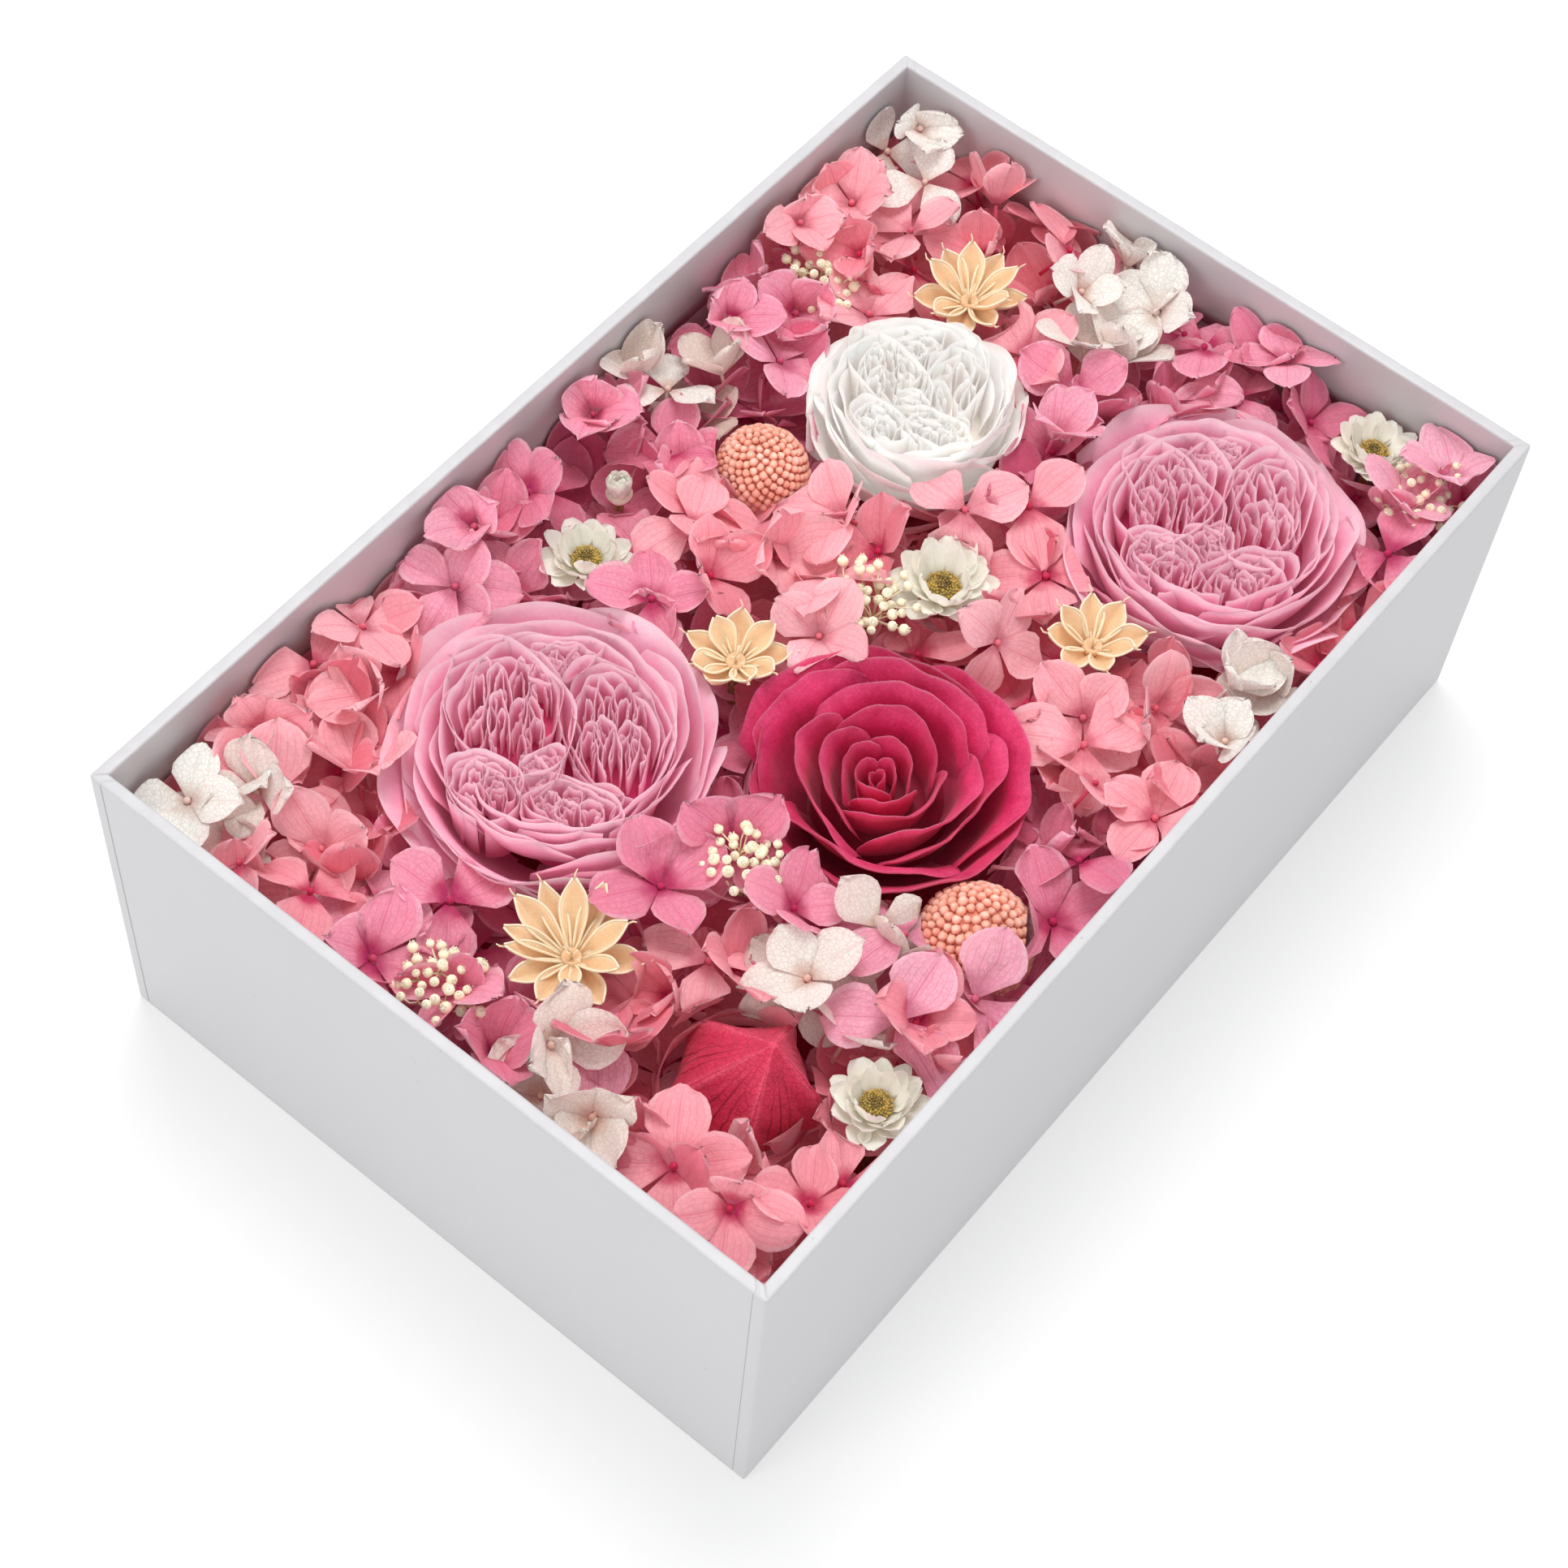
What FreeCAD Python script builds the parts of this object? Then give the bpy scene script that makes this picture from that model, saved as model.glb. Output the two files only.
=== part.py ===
"""A flower box: a white paper-covered rigid board tray, a slab of dry floral foam glued inside it,
and preserved flowers whose stems stand in the foam.

Frame: millimetres, +Z up, origin at the centre of the underside. X runs across the tray's width
and Y along its length. The tray is hard: boards, stay tapes and papers, with real thicknesses.
The flower heads are soft, so each one here is a plain closed envelope of its true size and place,
clear of its neighbours.
"""

import FreeCAD, Part
import math
import os

from FreeCAD import Vector

# ---- driving dimensions of the tray ----
WIDTH = 148.0
LENGTH = 225.0
HEIGHT = 78.0
BOARD = 2.0          # greyboard
PAPER = 0.25         # covering, lining and base papers, glue included
TURN_IN = 18.0       # how far the covering paper turns down inside the walls
TURN_UNDER = 12.0    # how far it turns under the base
RIM_RADIUS = 0.4
CORNER_RADIUS = 0.5
SEAM_WIDTH = 0.2
SEAM_DEPTH = 0.12
SEAM_INSET = 2.7     # the covering's seam stands on the end faces, this far from each corner
STAY_LEG = 12.0
STAY_THICKNESS = 0.15
STAY_MARGIN = 6.0    # from the rim and the base to a stay tape's ends

# ---- what stands in the tray ----
FOAM_GAP = 1.5
FOAM_TOP = 36.0
STEM_FOOT = 14.0     # how low the stems reach in the foam
GLUE_RADIUS = 9.0
GLUE_THICKNESS = 0.6
CLEARANCE = 0.3      # between two soft heads
BED_LOW = 48.0
BED_HIGH = 66.0      # top of the hydrangea bed
CALYX_HEIGHT = 5.0
CALYX_SOCKET = 2.0   # how far a rose stem stands in its calyx
CALYX_WALL = 0.9
CARPEL_DROP = 1.0    # from a seed pod's rim down to its carpels' tips

# ---- worked out ----
TRAY_WIDTH = WIDTH - 2 * PAPER
TRAY_LENGTH = LENGTH - 2 * PAPER
INNER_WIDTH = TRAY_WIDTH - 2 * BOARD
INNER_LENGTH = TRAY_LENGTH - 2 * BOARD
CLEAR_WIDTH = INNER_WIDTH - 2 * PAPER
CLEAR_LENGTH = INNER_LENGTH - 2 * PAPER
BOARD_LOW = 2 * PAPER
BOARD_HIGH = HEIGHT - PAPER
FLOOR_LOW = BOARD_LOW + BOARD
FLOOR = FLOOR_LOW + PAPER
FOAM_LOW = FLOOR + GLUE_THICKNESS

# ---- flower heads: name, x, y, radius, underside, top ----
ROSES = [
    ("hot_pink_rose", 24.0, -17.0, 26.2, 42.0, 73.0),
    ("light_pink_rose_front", -23.0, -51.0, 29.3, 42.0, 73.5),
    ("light_pink_rose_rear", 37.0, 64.0, 28.0, 42.0, 73.5),
    ("white_rose", -22.2, 51.0, 21.0, 42.0, 74.5),
]
PHYSALIS = (40.3, -78.5, 14.5, 47.0, 72.0)
HUSK_WALL = 0.5
BERRY_RADIUS = 6.0
# name, x, y, ball radius, ball centre height
BILLY_BUTTONS = [
    ("billy_button_front", 55.2, -31.2, 10.6, 61.5),
    ("billy_button_rear", -36.2, 22.2, 9.3, 62.5),
]
# name, x, y, radius, carpels, underside
SEED_PODS = [
    ("seed_pod_front", 5.7, -80.0, 14.5, 14, 62.0),
    ("seed_pod_left", -11.8, -15.4, 10.5, 9, 63.0),
    ("seed_pod_right", 35.4, 31.0, 12.5, 8, 64.0),
    ("seed_pod_rear", -31.5, 79.8, 12.5, 11, 62.5),
]
CARPEL_THICKNESS = 1.5
CARPEL_TILT = 24.0
# name, x, y, radius, underside, top
DAISIES = [
    ("daisy_left", -46.8, -15.5, 8.7, 61.0, 69.5),
    ("daisy_centre", 6.5, 22.3, 10.0, 62.0, 70.5),
    ("daisy_front", 62.3, -68.2, 8.8, 61.0, 70.0),
    ("daisy_rear", 49.0, 101.2, 8.5, 62.0, 71.0),
    ("daisy_bud", -53.3, 1.3, 6.0, 60.0, 69.0),
]
# name, x, y, spread along x and y, underside, top
BABYS_BREATH = [
    ("babys_breath_front", -6.0, -99.5, 9.0, 8.0, 62.0, 73.0),
    ("babys_breath_centre", 18.2, -48.5, 8.5, 7.0, 62.0, 74.0),
    ("babys_breath_middle", -0.5, 9.5, 9.5, 8.5, 62.0, 73.0),
    ("babys_breath_rear", -55.5, 63.0, 8.5, 8.5, 62.0, 72.0),
    ("babys_breath_corner", 62.3, 96.0, 8.5, 10.0, 62.0, 73.0),
]
# name, x, y, spread along x and y, top
WHITE_HYDRANGEAS = [
    ("white_hydrangea_1", -61.0, -100.0, 12.0, 9.0, 66.5),
    ("white_hydrangea_2", 22.0, -101.5, 12.0, 8.0, 67.5),
    ("white_hydrangea_3", 44.0, -53.0, 11.5, 11.0, 68.5),
    ("white_hydrangea_4", 61.5, 37.5, 9.5, 11.0, 67.5),
    ("white_hydrangea_5", -60.5, 26.5, 10.5, 10.0, 69.0),
    ("white_hydrangea_6", -8.5, 93.5, 10.0, 14.0, 68.5),
    ("white_hydrangea_7", -61.0, 101.0, 10.0, 9.0, 68.0),
]
# where the pink hydrangea sprigs stand
PINK_SPRIGS = [
    (-60.0, -76.0),
    (-18.0, -104.0),
    (56.0, -102.0),
    (60.0, -12.0),
    (60.0, 18.0),
    (-60.0, -40.0),
    (-16.0, 20.0),
    (-62.0, 48.0),
    (-47.0, 98.0),
    (16.0, 100.0),
]
ROSE_STEM_RADIUS = 1.6
STEM_RADIUS = 0.9
SPRAY_STEM_RADIUS = 0.5


def block(width, length, low, high):
    """A box centred on the Z axis."""
    return Part.makeBox(width, length, high - low, Vector(-width / 2, -length / 2, low))


def ring(outer_width, outer_length, wall, low, high):
    outer = block(outer_width, outer_length, low, high)
    return outer.cut(block(outer_width - 2 * wall, outer_length - 2 * wall, low, high))


def round_edges(shape, radius, wanted):
    """Fillets the edges whose middle point passes the test."""
    chosen = []
    for edge in shape.Edges:
        middle = edge.valueAt((edge.FirstParameter + edge.LastParameter) / 2)
        if wanted(middle):
            chosen.append(edge)
    return shape.makeFillet(radius, chosen)


# ---------------------------------------------------------------- the tray

def corner_stays():
    """Paper stay tape, folded round the outside of each upright corner."""
    low = BOARD_LOW + STAY_MARGIN
    high = BOARD_HIGH - STAY_MARGIN
    band = ring(TRAY_WIDTH, TRAY_LENGTH, STAY_THICKNESS, low, high)
    stays = []
    for side_x in (-1, 1):
        for side_y in (-1, 1):
            corner = Vector(
                side_x * TRAY_WIDTH / 2 - STAY_LEG, side_y * TRAY_LENGTH / 2 - STAY_LEG, low
            )
            stays.append(band.common(Part.makeBox(2 * STAY_LEG, 2 * STAY_LEG, high - low, corner)))
    return Part.makeCompound([s.Solids[0] for s in stays])


def boards(stays):
    """The base and the four walls; the stay tapes are pressed into the walls' faces."""
    tall = BOARD_HIGH - BOARD_LOW
    long_side = Part.makeBox(BOARD, TRAY_LENGTH, tall, Vector(0, -TRAY_LENGTH / 2, BOARD_LOW))
    end = Part.makeBox(INNER_WIDTH, BOARD, tall, Vector(-INNER_WIDTH / 2, 0, BOARD_LOW))
    walls = {
        "left_wall_board": long_side.translated(Vector(-TRAY_WIDTH / 2, 0, 0)),
        "right_wall_board": long_side.translated(Vector(TRAY_WIDTH / 2 - BOARD, 0, 0)),
        "front_wall_board": end.translated(Vector(0, -TRAY_LENGTH / 2, 0)),
        "rear_wall_board": end.translated(Vector(0, TRAY_LENGTH / 2 - BOARD, 0)),
    }
    made = {name: wall.cut(stays) for name, wall in walls.items()}
    made["base_board"] = block(INNER_WIDTH, INNER_LENGTH, BOARD_LOW, FLOOR_LOW)
    return made


def cover_paper():
    """The white covering: outside walls, over the rim, down inside, and turned under the base."""
    outside = block(WIDTH, LENGTH, PAPER, HEIGHT)
    outside = round_edges(
        outside,
        CORNER_RADIUS,
        lambda p: abs(abs(p.x) - WIDTH / 2) < 1e-6 and abs(abs(p.y) - LENGTH / 2) < 1e-6,
    )
    outside = round_edges(outside, RIM_RADIUS, lambda p: abs(p.z - HEIGHT) < 1e-6)
    well = block(CLEAR_WIDTH, CLEAR_LENGTH, PAPER, HEIGHT + 1)
    cover = outside.cut(well)
    cover = round_edges(
        cover,
        RIM_RADIUS,
        lambda p: abs(p.z - HEIGHT) < 1e-6
        and abs(p.x) < CLEAR_WIDTH / 2 + PAPER / 2
        and abs(p.y) < CLEAR_LENGTH / 2 + PAPER / 2,
    )
    # the boards' own room, and the room of the lining below the turned-in edge
    cover = cover.cut(ring(TRAY_WIDTH, TRAY_LENGTH, BOARD, PAPER, BOARD_HIGH))
    cover = cover.cut(ring(INNER_WIDTH, INNER_LENGTH, PAPER, PAPER, HEIGHT - TURN_IN))
    cover = cover.fuse(ring(TRAY_WIDTH, TRAY_LENGTH, TURN_UNDER, PAPER, BOARD_LOW))
    for side_x in (-1, 1):
        for side_y in (-1, 1):
            seam = Part.makeBox(SEAM_WIDTH, 2 * SEAM_DEPTH, HEIGHT)
            x = side_x * (WIDTH / 2 - SEAM_INSET) - SEAM_WIDTH / 2
            seam.translate(Vector(x, side_y * LENGTH / 2 - SEAM_DEPTH, 0))
            cover = cover.cut(seam)
    return cover.removeSplitter()


def base_paper():
    """The sheet that the tray stands on; it hides the covering's turned-under edges."""
    inset = 2 * PAPER
    return block(WIDTH - inset, LENGTH - inset, 0, PAPER)


def lining_paper():
    walls = ring(INNER_WIDTH, INNER_LENGTH, PAPER, FLOOR_LOW, HEIGHT - TURN_IN)
    return walls.fuse(block(CLEAR_WIDTH, CLEAR_LENGTH, FLOOR_LOW, FLOOR)).removeSplitter()


def glue_dabs():
    """Six flattened dabs of hot glue under the foam."""
    dabs = []
    for column in (-1, 1):
        for row in (-1, 0, 1):
            place = Vector(column * WIDTH / 4, row * LENGTH / 3, FLOOR)
            dabs.append(Part.makeCylinder(GLUE_RADIUS, GLUE_THICKNESS, place))
    return Part.makeCompound(dabs)


# ---------------------------------------------------------------- flower heads

def revolved(x, y, points):
    """A solid turned about the upright line at x, y. Its outline runs through the (radius, height)
    points given from the bottom up, and is closed by a flat disc at each end.
    """
    outline = [Vector(0, 0, points[0][1])]
    outline += [Vector(radius, 0, height) for radius, height in points]
    outline += [Vector(0, 0, points[-1][1]), Vector(0, 0, points[0][1])]
    turned = Part.Face(Part.makePolygon(outline)).revolve(Vector(0, 0, 0), Vector(0, 0, 1), 360)
    return turned.translated(Vector(x, y, 0))


def profile(radius, low, high, shares):
    """Outline points from shares of the radius and of the height."""
    return [(r * radius, low + h * (high - low)) for r, h in shares]


ROSE_SHARES = [(0.26, 0.0), (0.54, 0.18), (0.76, 0.42), (0.91, 0.66), (1.0, 0.84), (0.9, 0.95), (0.5, 1.0)]
HUSK_SHARES = [(0.12, 0.0), (0.62, 0.07), (0.93, 0.22), (1.0, 0.4), (0.85, 0.62), (0.45, 0.85), (0.05, 1.0)]
DAISY_SHARES = [(0.22, 0.0), (0.6, 0.3), (1.0, 0.66), (0.9, 0.84), (0.55, 0.96), (0.2, 1.0)]


def bloom(x, y, radius, low, high, grow=0.0):
    """A rose head's envelope: a narrow foot, a full waist and a crowned top. grow adds room all round."""
    return revolved(x, y, profile(radius + grow, low - grow, high + grow, ROSE_SHARES))


def physalis_husk(grow=0.0):
    x, y, radius, low, high = PHYSALIS
    outer = revolved(x, y, profile(radius + grow, low - grow, high + grow, HUSK_SHARES))
    if grow:
        return outer
    inside = profile(radius - HUSK_WALL, low + HUSK_WALL, high - 3 * HUSK_WALL, HUSK_SHARES)
    return outer.cut(revolved(x, y, inside))


def physalis_berry():
    x, y, _, low, _ = PHYSALIS
    return Part.makeSphere(BERRY_RADIUS, Vector(x, y, low + HUSK_WALL + BERRY_RADIUS))


def seed_pod(x, y, radius, carpels, low):
    """A star of boat-shaped carpels that lean up and out from a small hub."""
    inner = 0.1 * radius
    half_width = min(0.19 * radius, math.pi * 0.5 * radius / carpels)
    root = Vector(inner, 0, 0)
    tip = Vector(radius / math.cos(math.radians(CARPEL_TILT)) - CARPEL_DROP, 0, 0)
    belly = 0.62 * tip.x
    sides = [
        Part.Arc(root, Vector(belly, half_width, 0), tip).toShape(),
        Part.Arc(tip, Vector(belly, -half_width, 0), root).toShape(),
    ]
    carpel = Part.Face(Part.Wire(sides)).extrude(Vector(0, 0, CARPEL_THICKNESS))
    carpel.rotate(Vector(0, 0, 0), Vector(0, 1, 0), -CARPEL_TILT)
    pod = Part.makeCone(0.1 * radius, 0.24 * radius, 0.2 * radius)
    for n in range(carpels):
        pod = pod.fuse(carpel.rotated(Vector(0, 0, 0), Vector(0, 0, 1), n * 360 / carpels))
    return pod.translated(Vector(x, y, low))


def pod_room(x, y, radius, low):
    """The cone-shaped room that a seed pod needs."""
    high = low + radius * math.tan(math.radians(CARPEL_TILT)) + CARPEL_THICKNESS + CLEARANCE
    outline = [
        (0.3 * radius, low - CLEARANCE),
        (radius + CLEARANCE, high - CARPEL_THICKNESS - CARPEL_DROP),
        (radius + CLEARANCE, high),
    ]
    return revolved(x, y, outline)


def daisy(x, y, radius, low, high, grow=0.0):
    """A shallow cup, rounded above."""
    return revolved(x, y, profile(radius + grow, low - grow, high + grow, DAISY_SHARES))


def oval(x, y, spread_x, spread_y, low, high, grow=0.0):
    """An egg-shaped envelope for a loose spray."""
    stretch = FreeCAD.Matrix()
    stretch.scale(spread_x + grow, spread_y + grow, (high - low) / 2 + grow)
    ball = Part.makeSphere(1.0).transformGeometry(stretch)
    return ball.translated(Vector(x, y, (low + high) / 2))


def pillar(x, y, spread_x, spread_y, low, high):
    """An oval pad with a rounded top edge, for a small sprig."""
    major, minor = max(spread_x, spread_y), min(spread_x, spread_y)
    ellipse = Part.Ellipse(Vector(0, 0, low), major, minor).toShape()
    pad = Part.Face(Part.Wire([ellipse])).extrude(Vector(0, 0, high - low))
    if spread_y > spread_x:
        pad.rotate(Vector(0, 0, 0), Vector(0, 0, 1), 90)
    pad = pad.translated(Vector(x, y, 0))
    return round_edges(pad, 0.3 * minor, lambda p: abs(p.z - high) < 1e-6)


def nearest_cell(n):
    """The part of the bed's plan that is nearer to pink sprig n than to any other, as a polygon."""
    half_x = CLEAR_WIDTH / 2 - CLEARANCE
    half_y = CLEAR_LENGTH / 2 - CLEARANCE
    cell = [(-half_x, -half_y), (half_x, -half_y), (half_x, half_y), (-half_x, half_y)]
    here = PINK_SPRIGS[n]
    for m, there in enumerate(PINK_SPRIGS):
        if m == n:
            continue
        away = (there[0] - here[0], there[1] - here[1])
        distance = math.hypot(*away)
        away = (away[0] / distance, away[1] / distance)
        reach = (distance - CLEARANCE) / 2

        def beyond(p):
            return (p[0] - here[0]) * away[0] + (p[1] - here[1]) * away[1] - reach

        kept = []
        for a, b in zip(cell, cell[1:] + cell[:1]):
            if beyond(a) <= 0:
                kept.append(a)
            if beyond(a) * beyond(b) < 0:
                share = beyond(a) / (beyond(a) - beyond(b))
                kept.append((a[0] + share * (b[0] - a[0]), a[1] + share * (b[1] - a[1])))
        cell = kept
    return cell


def pink_cell(n):
    corners = [Vector(x, y, BED_LOW) for x, y in nearest_cell(n)]
    face = Part.Face(Part.makePolygon(corners + corners[:1]))
    return face.extrude(Vector(0, 0, BED_HIGH - BED_LOW))


def stem(x, y, radius, high, grow=0.0):
    return Part.makeCylinder(radius + grow, high - STEM_FOOT, Vector(x, y, STEM_FOOT))


def rose_calyx(x, y, radius, low):
    """The green cup under a rose head, with the stem's top inside it."""
    foot = Vector(x, y, low - CALYX_HEIGHT)
    cup = Part.makeCone(ROSE_STEM_RADIUS + CALYX_WALL, 0.28 * radius, CALYX_HEIGHT, foot)
    return cup.cut(Part.makeCylinder(ROSE_STEM_RADIUS, CALYX_SOCKET, foot))


# ---------------------------------------------------------------- the whole

def stems_by_node():
    """Node name to its stems, each as (x, y, radius, top)."""
    return {
        "rose_stems": [
            (x, y, ROSE_STEM_RADIUS, low - CALYX_HEIGHT + CALYX_SOCKET) for _, x, y, _, low, _ in ROSES
        ],
        "physalis_stem": [(PHYSALIS[0], PHYSALIS[1], STEM_RADIUS, PHYSALIS[3])],
        "billy_button_stems": [(x, y, STEM_RADIUS, z - r) for _, x, y, r, z in BILLY_BUTTONS],
        "seed_pod_stems": [(x, y, STEM_RADIUS, low) for _, x, y, _, _, low in SEED_PODS],
        "daisy_stems": [(x, y, STEM_RADIUS, low) for _, x, y, _, low, _ in DAISIES],
        "babys_breath_stems": [(x, y, SPRAY_STEM_RADIUS, low) for _, x, y, _, _, low, _ in BABYS_BREATH],
        "white_hydrangea_stems": [(x, y, STEM_RADIUS, BED_LOW) for _, x, y, _, _, _ in WHITE_HYDRANGEAS],
        "pink_hydrangea_stems": [(x, y, STEM_RADIUS, BED_LOW) for x, y in PINK_SPRIGS],
    }


def main_solid(shape):
    """The shape's largest solid, without the crumbs that a cut can leave beside it."""
    return max(shape.Solids, key=lambda solid: solid.Volume)


def build():
    nodes = boards(corner_stays())
    nodes["corner_stays"] = corner_stays()
    nodes["cover_paper"] = cover_paper()
    nodes["base_paper"] = base_paper()
    nodes["lining_paper"] = lining_paper()
    nodes["glue_dabs"] = glue_dabs()

    stems = stems_by_node()
    room = []  # what later heads keep clear of
    for name, x, y, radius, low, high in ROSES:
        nodes[name] = bloom(x, y, radius, low, high)
        room.append(bloom(x, y, radius, low, high, CLEARANCE))
    nodes["rose_calyxes"] = Part.makeCompound([rose_calyx(x, y, r, low) for _, x, y, r, low, _ in ROSES])
    nodes["physalis_husk"] = physalis_husk()
    nodes["physalis_berry"] = physalis_berry()
    room.append(physalis_husk(CLEARANCE))
    for name, x, y, radius, z in BILLY_BUTTONS:
        nodes[name] = main_solid(Part.makeSphere(radius, Vector(x, y, z)).cut(room))
        room.append(Part.makeSphere(radius + CLEARANCE, Vector(x, y, z)))
    for name, x, y, radius, carpels, low in SEED_PODS:
        nodes[name] = main_solid(seed_pod(x, y, radius, carpels, low).cut(room))
    room += [pod_room(x, y, radius, low) for _, x, y, radius, _, low in SEED_PODS]
    for name, *sizes in DAISIES:
        nodes[name] = main_solid(daisy(*sizes).cut(room))
        room.append(daisy(*sizes, CLEARANCE))
    for name, *sizes in BABYS_BREATH:
        nodes[name] = main_solid(oval(*sizes).cut(room))
        room.append(oval(*sizes, CLEARANCE))

    own = {(x, y): [] for x, y in PINK_SPRIGS}
    for places in stems.values():
        for x, y, radius, high in places:
            if (x, y) not in own:
                room.append(stem(x, y, radius, high, CLEARANCE))
    bed = block(CLEAR_WIDTH - 2 * CLEARANCE, CLEAR_LENGTH - 2 * CLEARANCE, BED_LOW, HEIGHT)
    whites = []
    for name, x, y, spread_x, spread_y, high in WHITE_HYDRANGEAS:
        pad = pillar(x, y, spread_x, spread_y, BED_LOW, high)
        nodes[name] = main_solid(pad.common(bed).cut(room))
        whites.append(pillar(x, y, spread_x + CLEARANCE, spread_y + CLEARANCE, BED_LOW, high + CLEARANCE))
    for n in range(len(PINK_SPRIGS)):
        nodes[f"pink_hydrangea_{n + 1}"] = main_solid(pink_cell(n).cut(room + whites))

    foam = block(CLEAR_WIDTH - 2 * FOAM_GAP, CLEAR_LENGTH - 2 * FOAM_GAP, FOAM_LOW, FOAM_TOP)
    for name, places in stems.items():
        nodes[name] = Part.makeCompound([stem(*place) for place in places])
        foam = foam.cut([stem(*place) for place in places])
    nodes["floral_foam"] = foam
    return nodes


os.makedirs("parts", exist_ok=True)
for old in os.listdir("parts"):
    if old.endswith(".step"):
        os.remove(os.path.join("parts", old))
for node, shape in sorted(build().items()):
    shape.exportStep(os.path.join("parts", node + ".step"))
    print(f"{node:26s} solids {len(shape.Solids):2d}  volume {shape.Volume:10.1f}  valid {shape.isValid()}")
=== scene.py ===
"""The looks of a flower box: a white paper-covered tray, filled with preserved roses, hydrangea and
dried flowers. One operator makes each kind of piece. Shapes are worked out in millimetres, and turned
into metres when their mesh is made."""

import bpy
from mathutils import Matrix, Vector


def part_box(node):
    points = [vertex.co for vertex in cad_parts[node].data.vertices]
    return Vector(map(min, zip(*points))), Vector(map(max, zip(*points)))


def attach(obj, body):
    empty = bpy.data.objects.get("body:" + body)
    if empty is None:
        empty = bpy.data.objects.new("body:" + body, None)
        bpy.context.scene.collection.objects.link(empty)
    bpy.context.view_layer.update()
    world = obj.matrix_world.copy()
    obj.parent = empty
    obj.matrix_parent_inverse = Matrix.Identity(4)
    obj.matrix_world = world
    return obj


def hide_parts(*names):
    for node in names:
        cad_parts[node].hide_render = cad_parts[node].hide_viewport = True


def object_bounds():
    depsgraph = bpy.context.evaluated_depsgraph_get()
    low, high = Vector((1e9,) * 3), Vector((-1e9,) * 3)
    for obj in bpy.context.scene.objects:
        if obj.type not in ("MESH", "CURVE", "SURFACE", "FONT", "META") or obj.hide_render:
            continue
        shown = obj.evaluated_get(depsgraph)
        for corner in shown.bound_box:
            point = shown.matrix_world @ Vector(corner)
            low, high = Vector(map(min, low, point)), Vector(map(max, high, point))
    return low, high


bl_info = {
    "name": "Flower box",
    "version": (1, 0, 0),
    "blender": (4, 5, 0),
    "location": "View3D > Sidebar > Flower box",
    "description": "Makes the looks of a paper-covered box of preserved flowers, piece by piece",
    "category": "Object",
}

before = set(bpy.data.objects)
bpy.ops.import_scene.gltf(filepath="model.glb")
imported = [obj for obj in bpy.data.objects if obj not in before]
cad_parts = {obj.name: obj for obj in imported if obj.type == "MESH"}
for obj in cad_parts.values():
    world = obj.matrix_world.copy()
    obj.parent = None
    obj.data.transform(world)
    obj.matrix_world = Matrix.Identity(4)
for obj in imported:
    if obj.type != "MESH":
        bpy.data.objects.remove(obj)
CAD_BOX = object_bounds()

import math

import bpy
import numpy as np
from mathutils import Matrix, Vector

MM = 0.001
FULL_TURN = 2 * math.pi
RIGHT = np.array([0.775, 0.632])     # across the box as it is looked at, from left to right
AWAY = np.array([-0.632, 0.775])     # and from near to far
GOLDEN_ANGLE = math.pi * (3 - math.sqrt(5))   # sets points evenly over a disc or a ball
BED_LOW = 50.0                       # the lowest florets of the hydrangea bed
BROAD_HEAD = 14.0                    # a rose's radius is more than this, and a small flower's less
WALL_AND_GAP = 3.1                   # how far the flowers keep from the tray's outside
SOFT_EDGE = 2.5                      # the walls begin to turn petals this much before that,
WALL_GIVE = 2.4                      # and let them come this much nearer
CROWDING_LIFT = 0.35                 # the share of a petal's lost reach that goes into height
SOFT_TOP, TOP_GIVE = 71.0, 4.5       # where petals begin to be held down, and how far above it they may come
COVER_WALL, COVER_PAPER = 2.5, 0.25  # the covered wall's thickness and the covering's own
COVER_TURN_IN, COVER_TURN_UNDER = 18.0, 12.0
CORNER_ROUND = 0.8                   # the radius of the covering's upright corners
SEAM_FROM_CORNER = 2.7               # where the covering's overlap ends on each end face
SEAM_STEP = 0.1                      # how far the overlap stands proud
FLORET_KINDS = 14
HEAD_NAMES = (
    "hot_pink_rose", "light_pink_rose_front", "light_pink_rose_rear", "white_rose", "physalis_husk",
    "billy_button_front", "billy_button_rear", "seed_pod_front", "seed_pod_left", "seed_pod_right",
    "seed_pod_rear", "daisy_left", "daisy_centre", "daisy_front", "daisy_rear", "daisy_bud",
)


def tint(red, green, blue):
    """A colour given as a painter would mix it, from 0 to 255, made linear."""
    return tuple((c / 255) ** 2.2 for c in (red, green, blue))


def colour(name, shade):
    return bpy.props.FloatVectorProperty(
        name=name, description=f"Colour of the {name.lower()}", subtype="COLOR",
        size=3, min=0.0, max=1.0, default=shade,
    )


class FlowerBoxColours(bpy.types.PropertyGroup):
    """Colours that a florist might change from one box to the next."""
    paper: colour("Covering paper", tint(200, 198, 200))
    board: colour("Grey board", tint(158, 152, 143))
    # the foam is coloured crimson so that it reads as the shade between the florets: painted shade
    foam_as_gap_shade: colour("Floral foam painted as gap shade", tint(206, 84, 108))
    hot_rose: colour("Hot pink rose", tint(208, 34, 92))
    light_rose: colour("Light pink rose", tint(246, 164, 192))
    white_rose: colour("White rose", tint(247, 241, 238))
    pink_sepal: colour("Pink hydrangea", tint(244, 150, 160))
    white_sepal: colour("White hydrangea", tint(238, 228, 222))
    husk: colour("Physalis husk", tint(206, 52, 84))
    button: colour("Billy button", tint(232, 160, 138))
    pod: colour("Seed pod", tint(231, 192, 152))
    daisy: colour("Daisy", tint(244, 238, 226))
    breath: colour("Baby's breath", tint(243, 228, 192))


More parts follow.
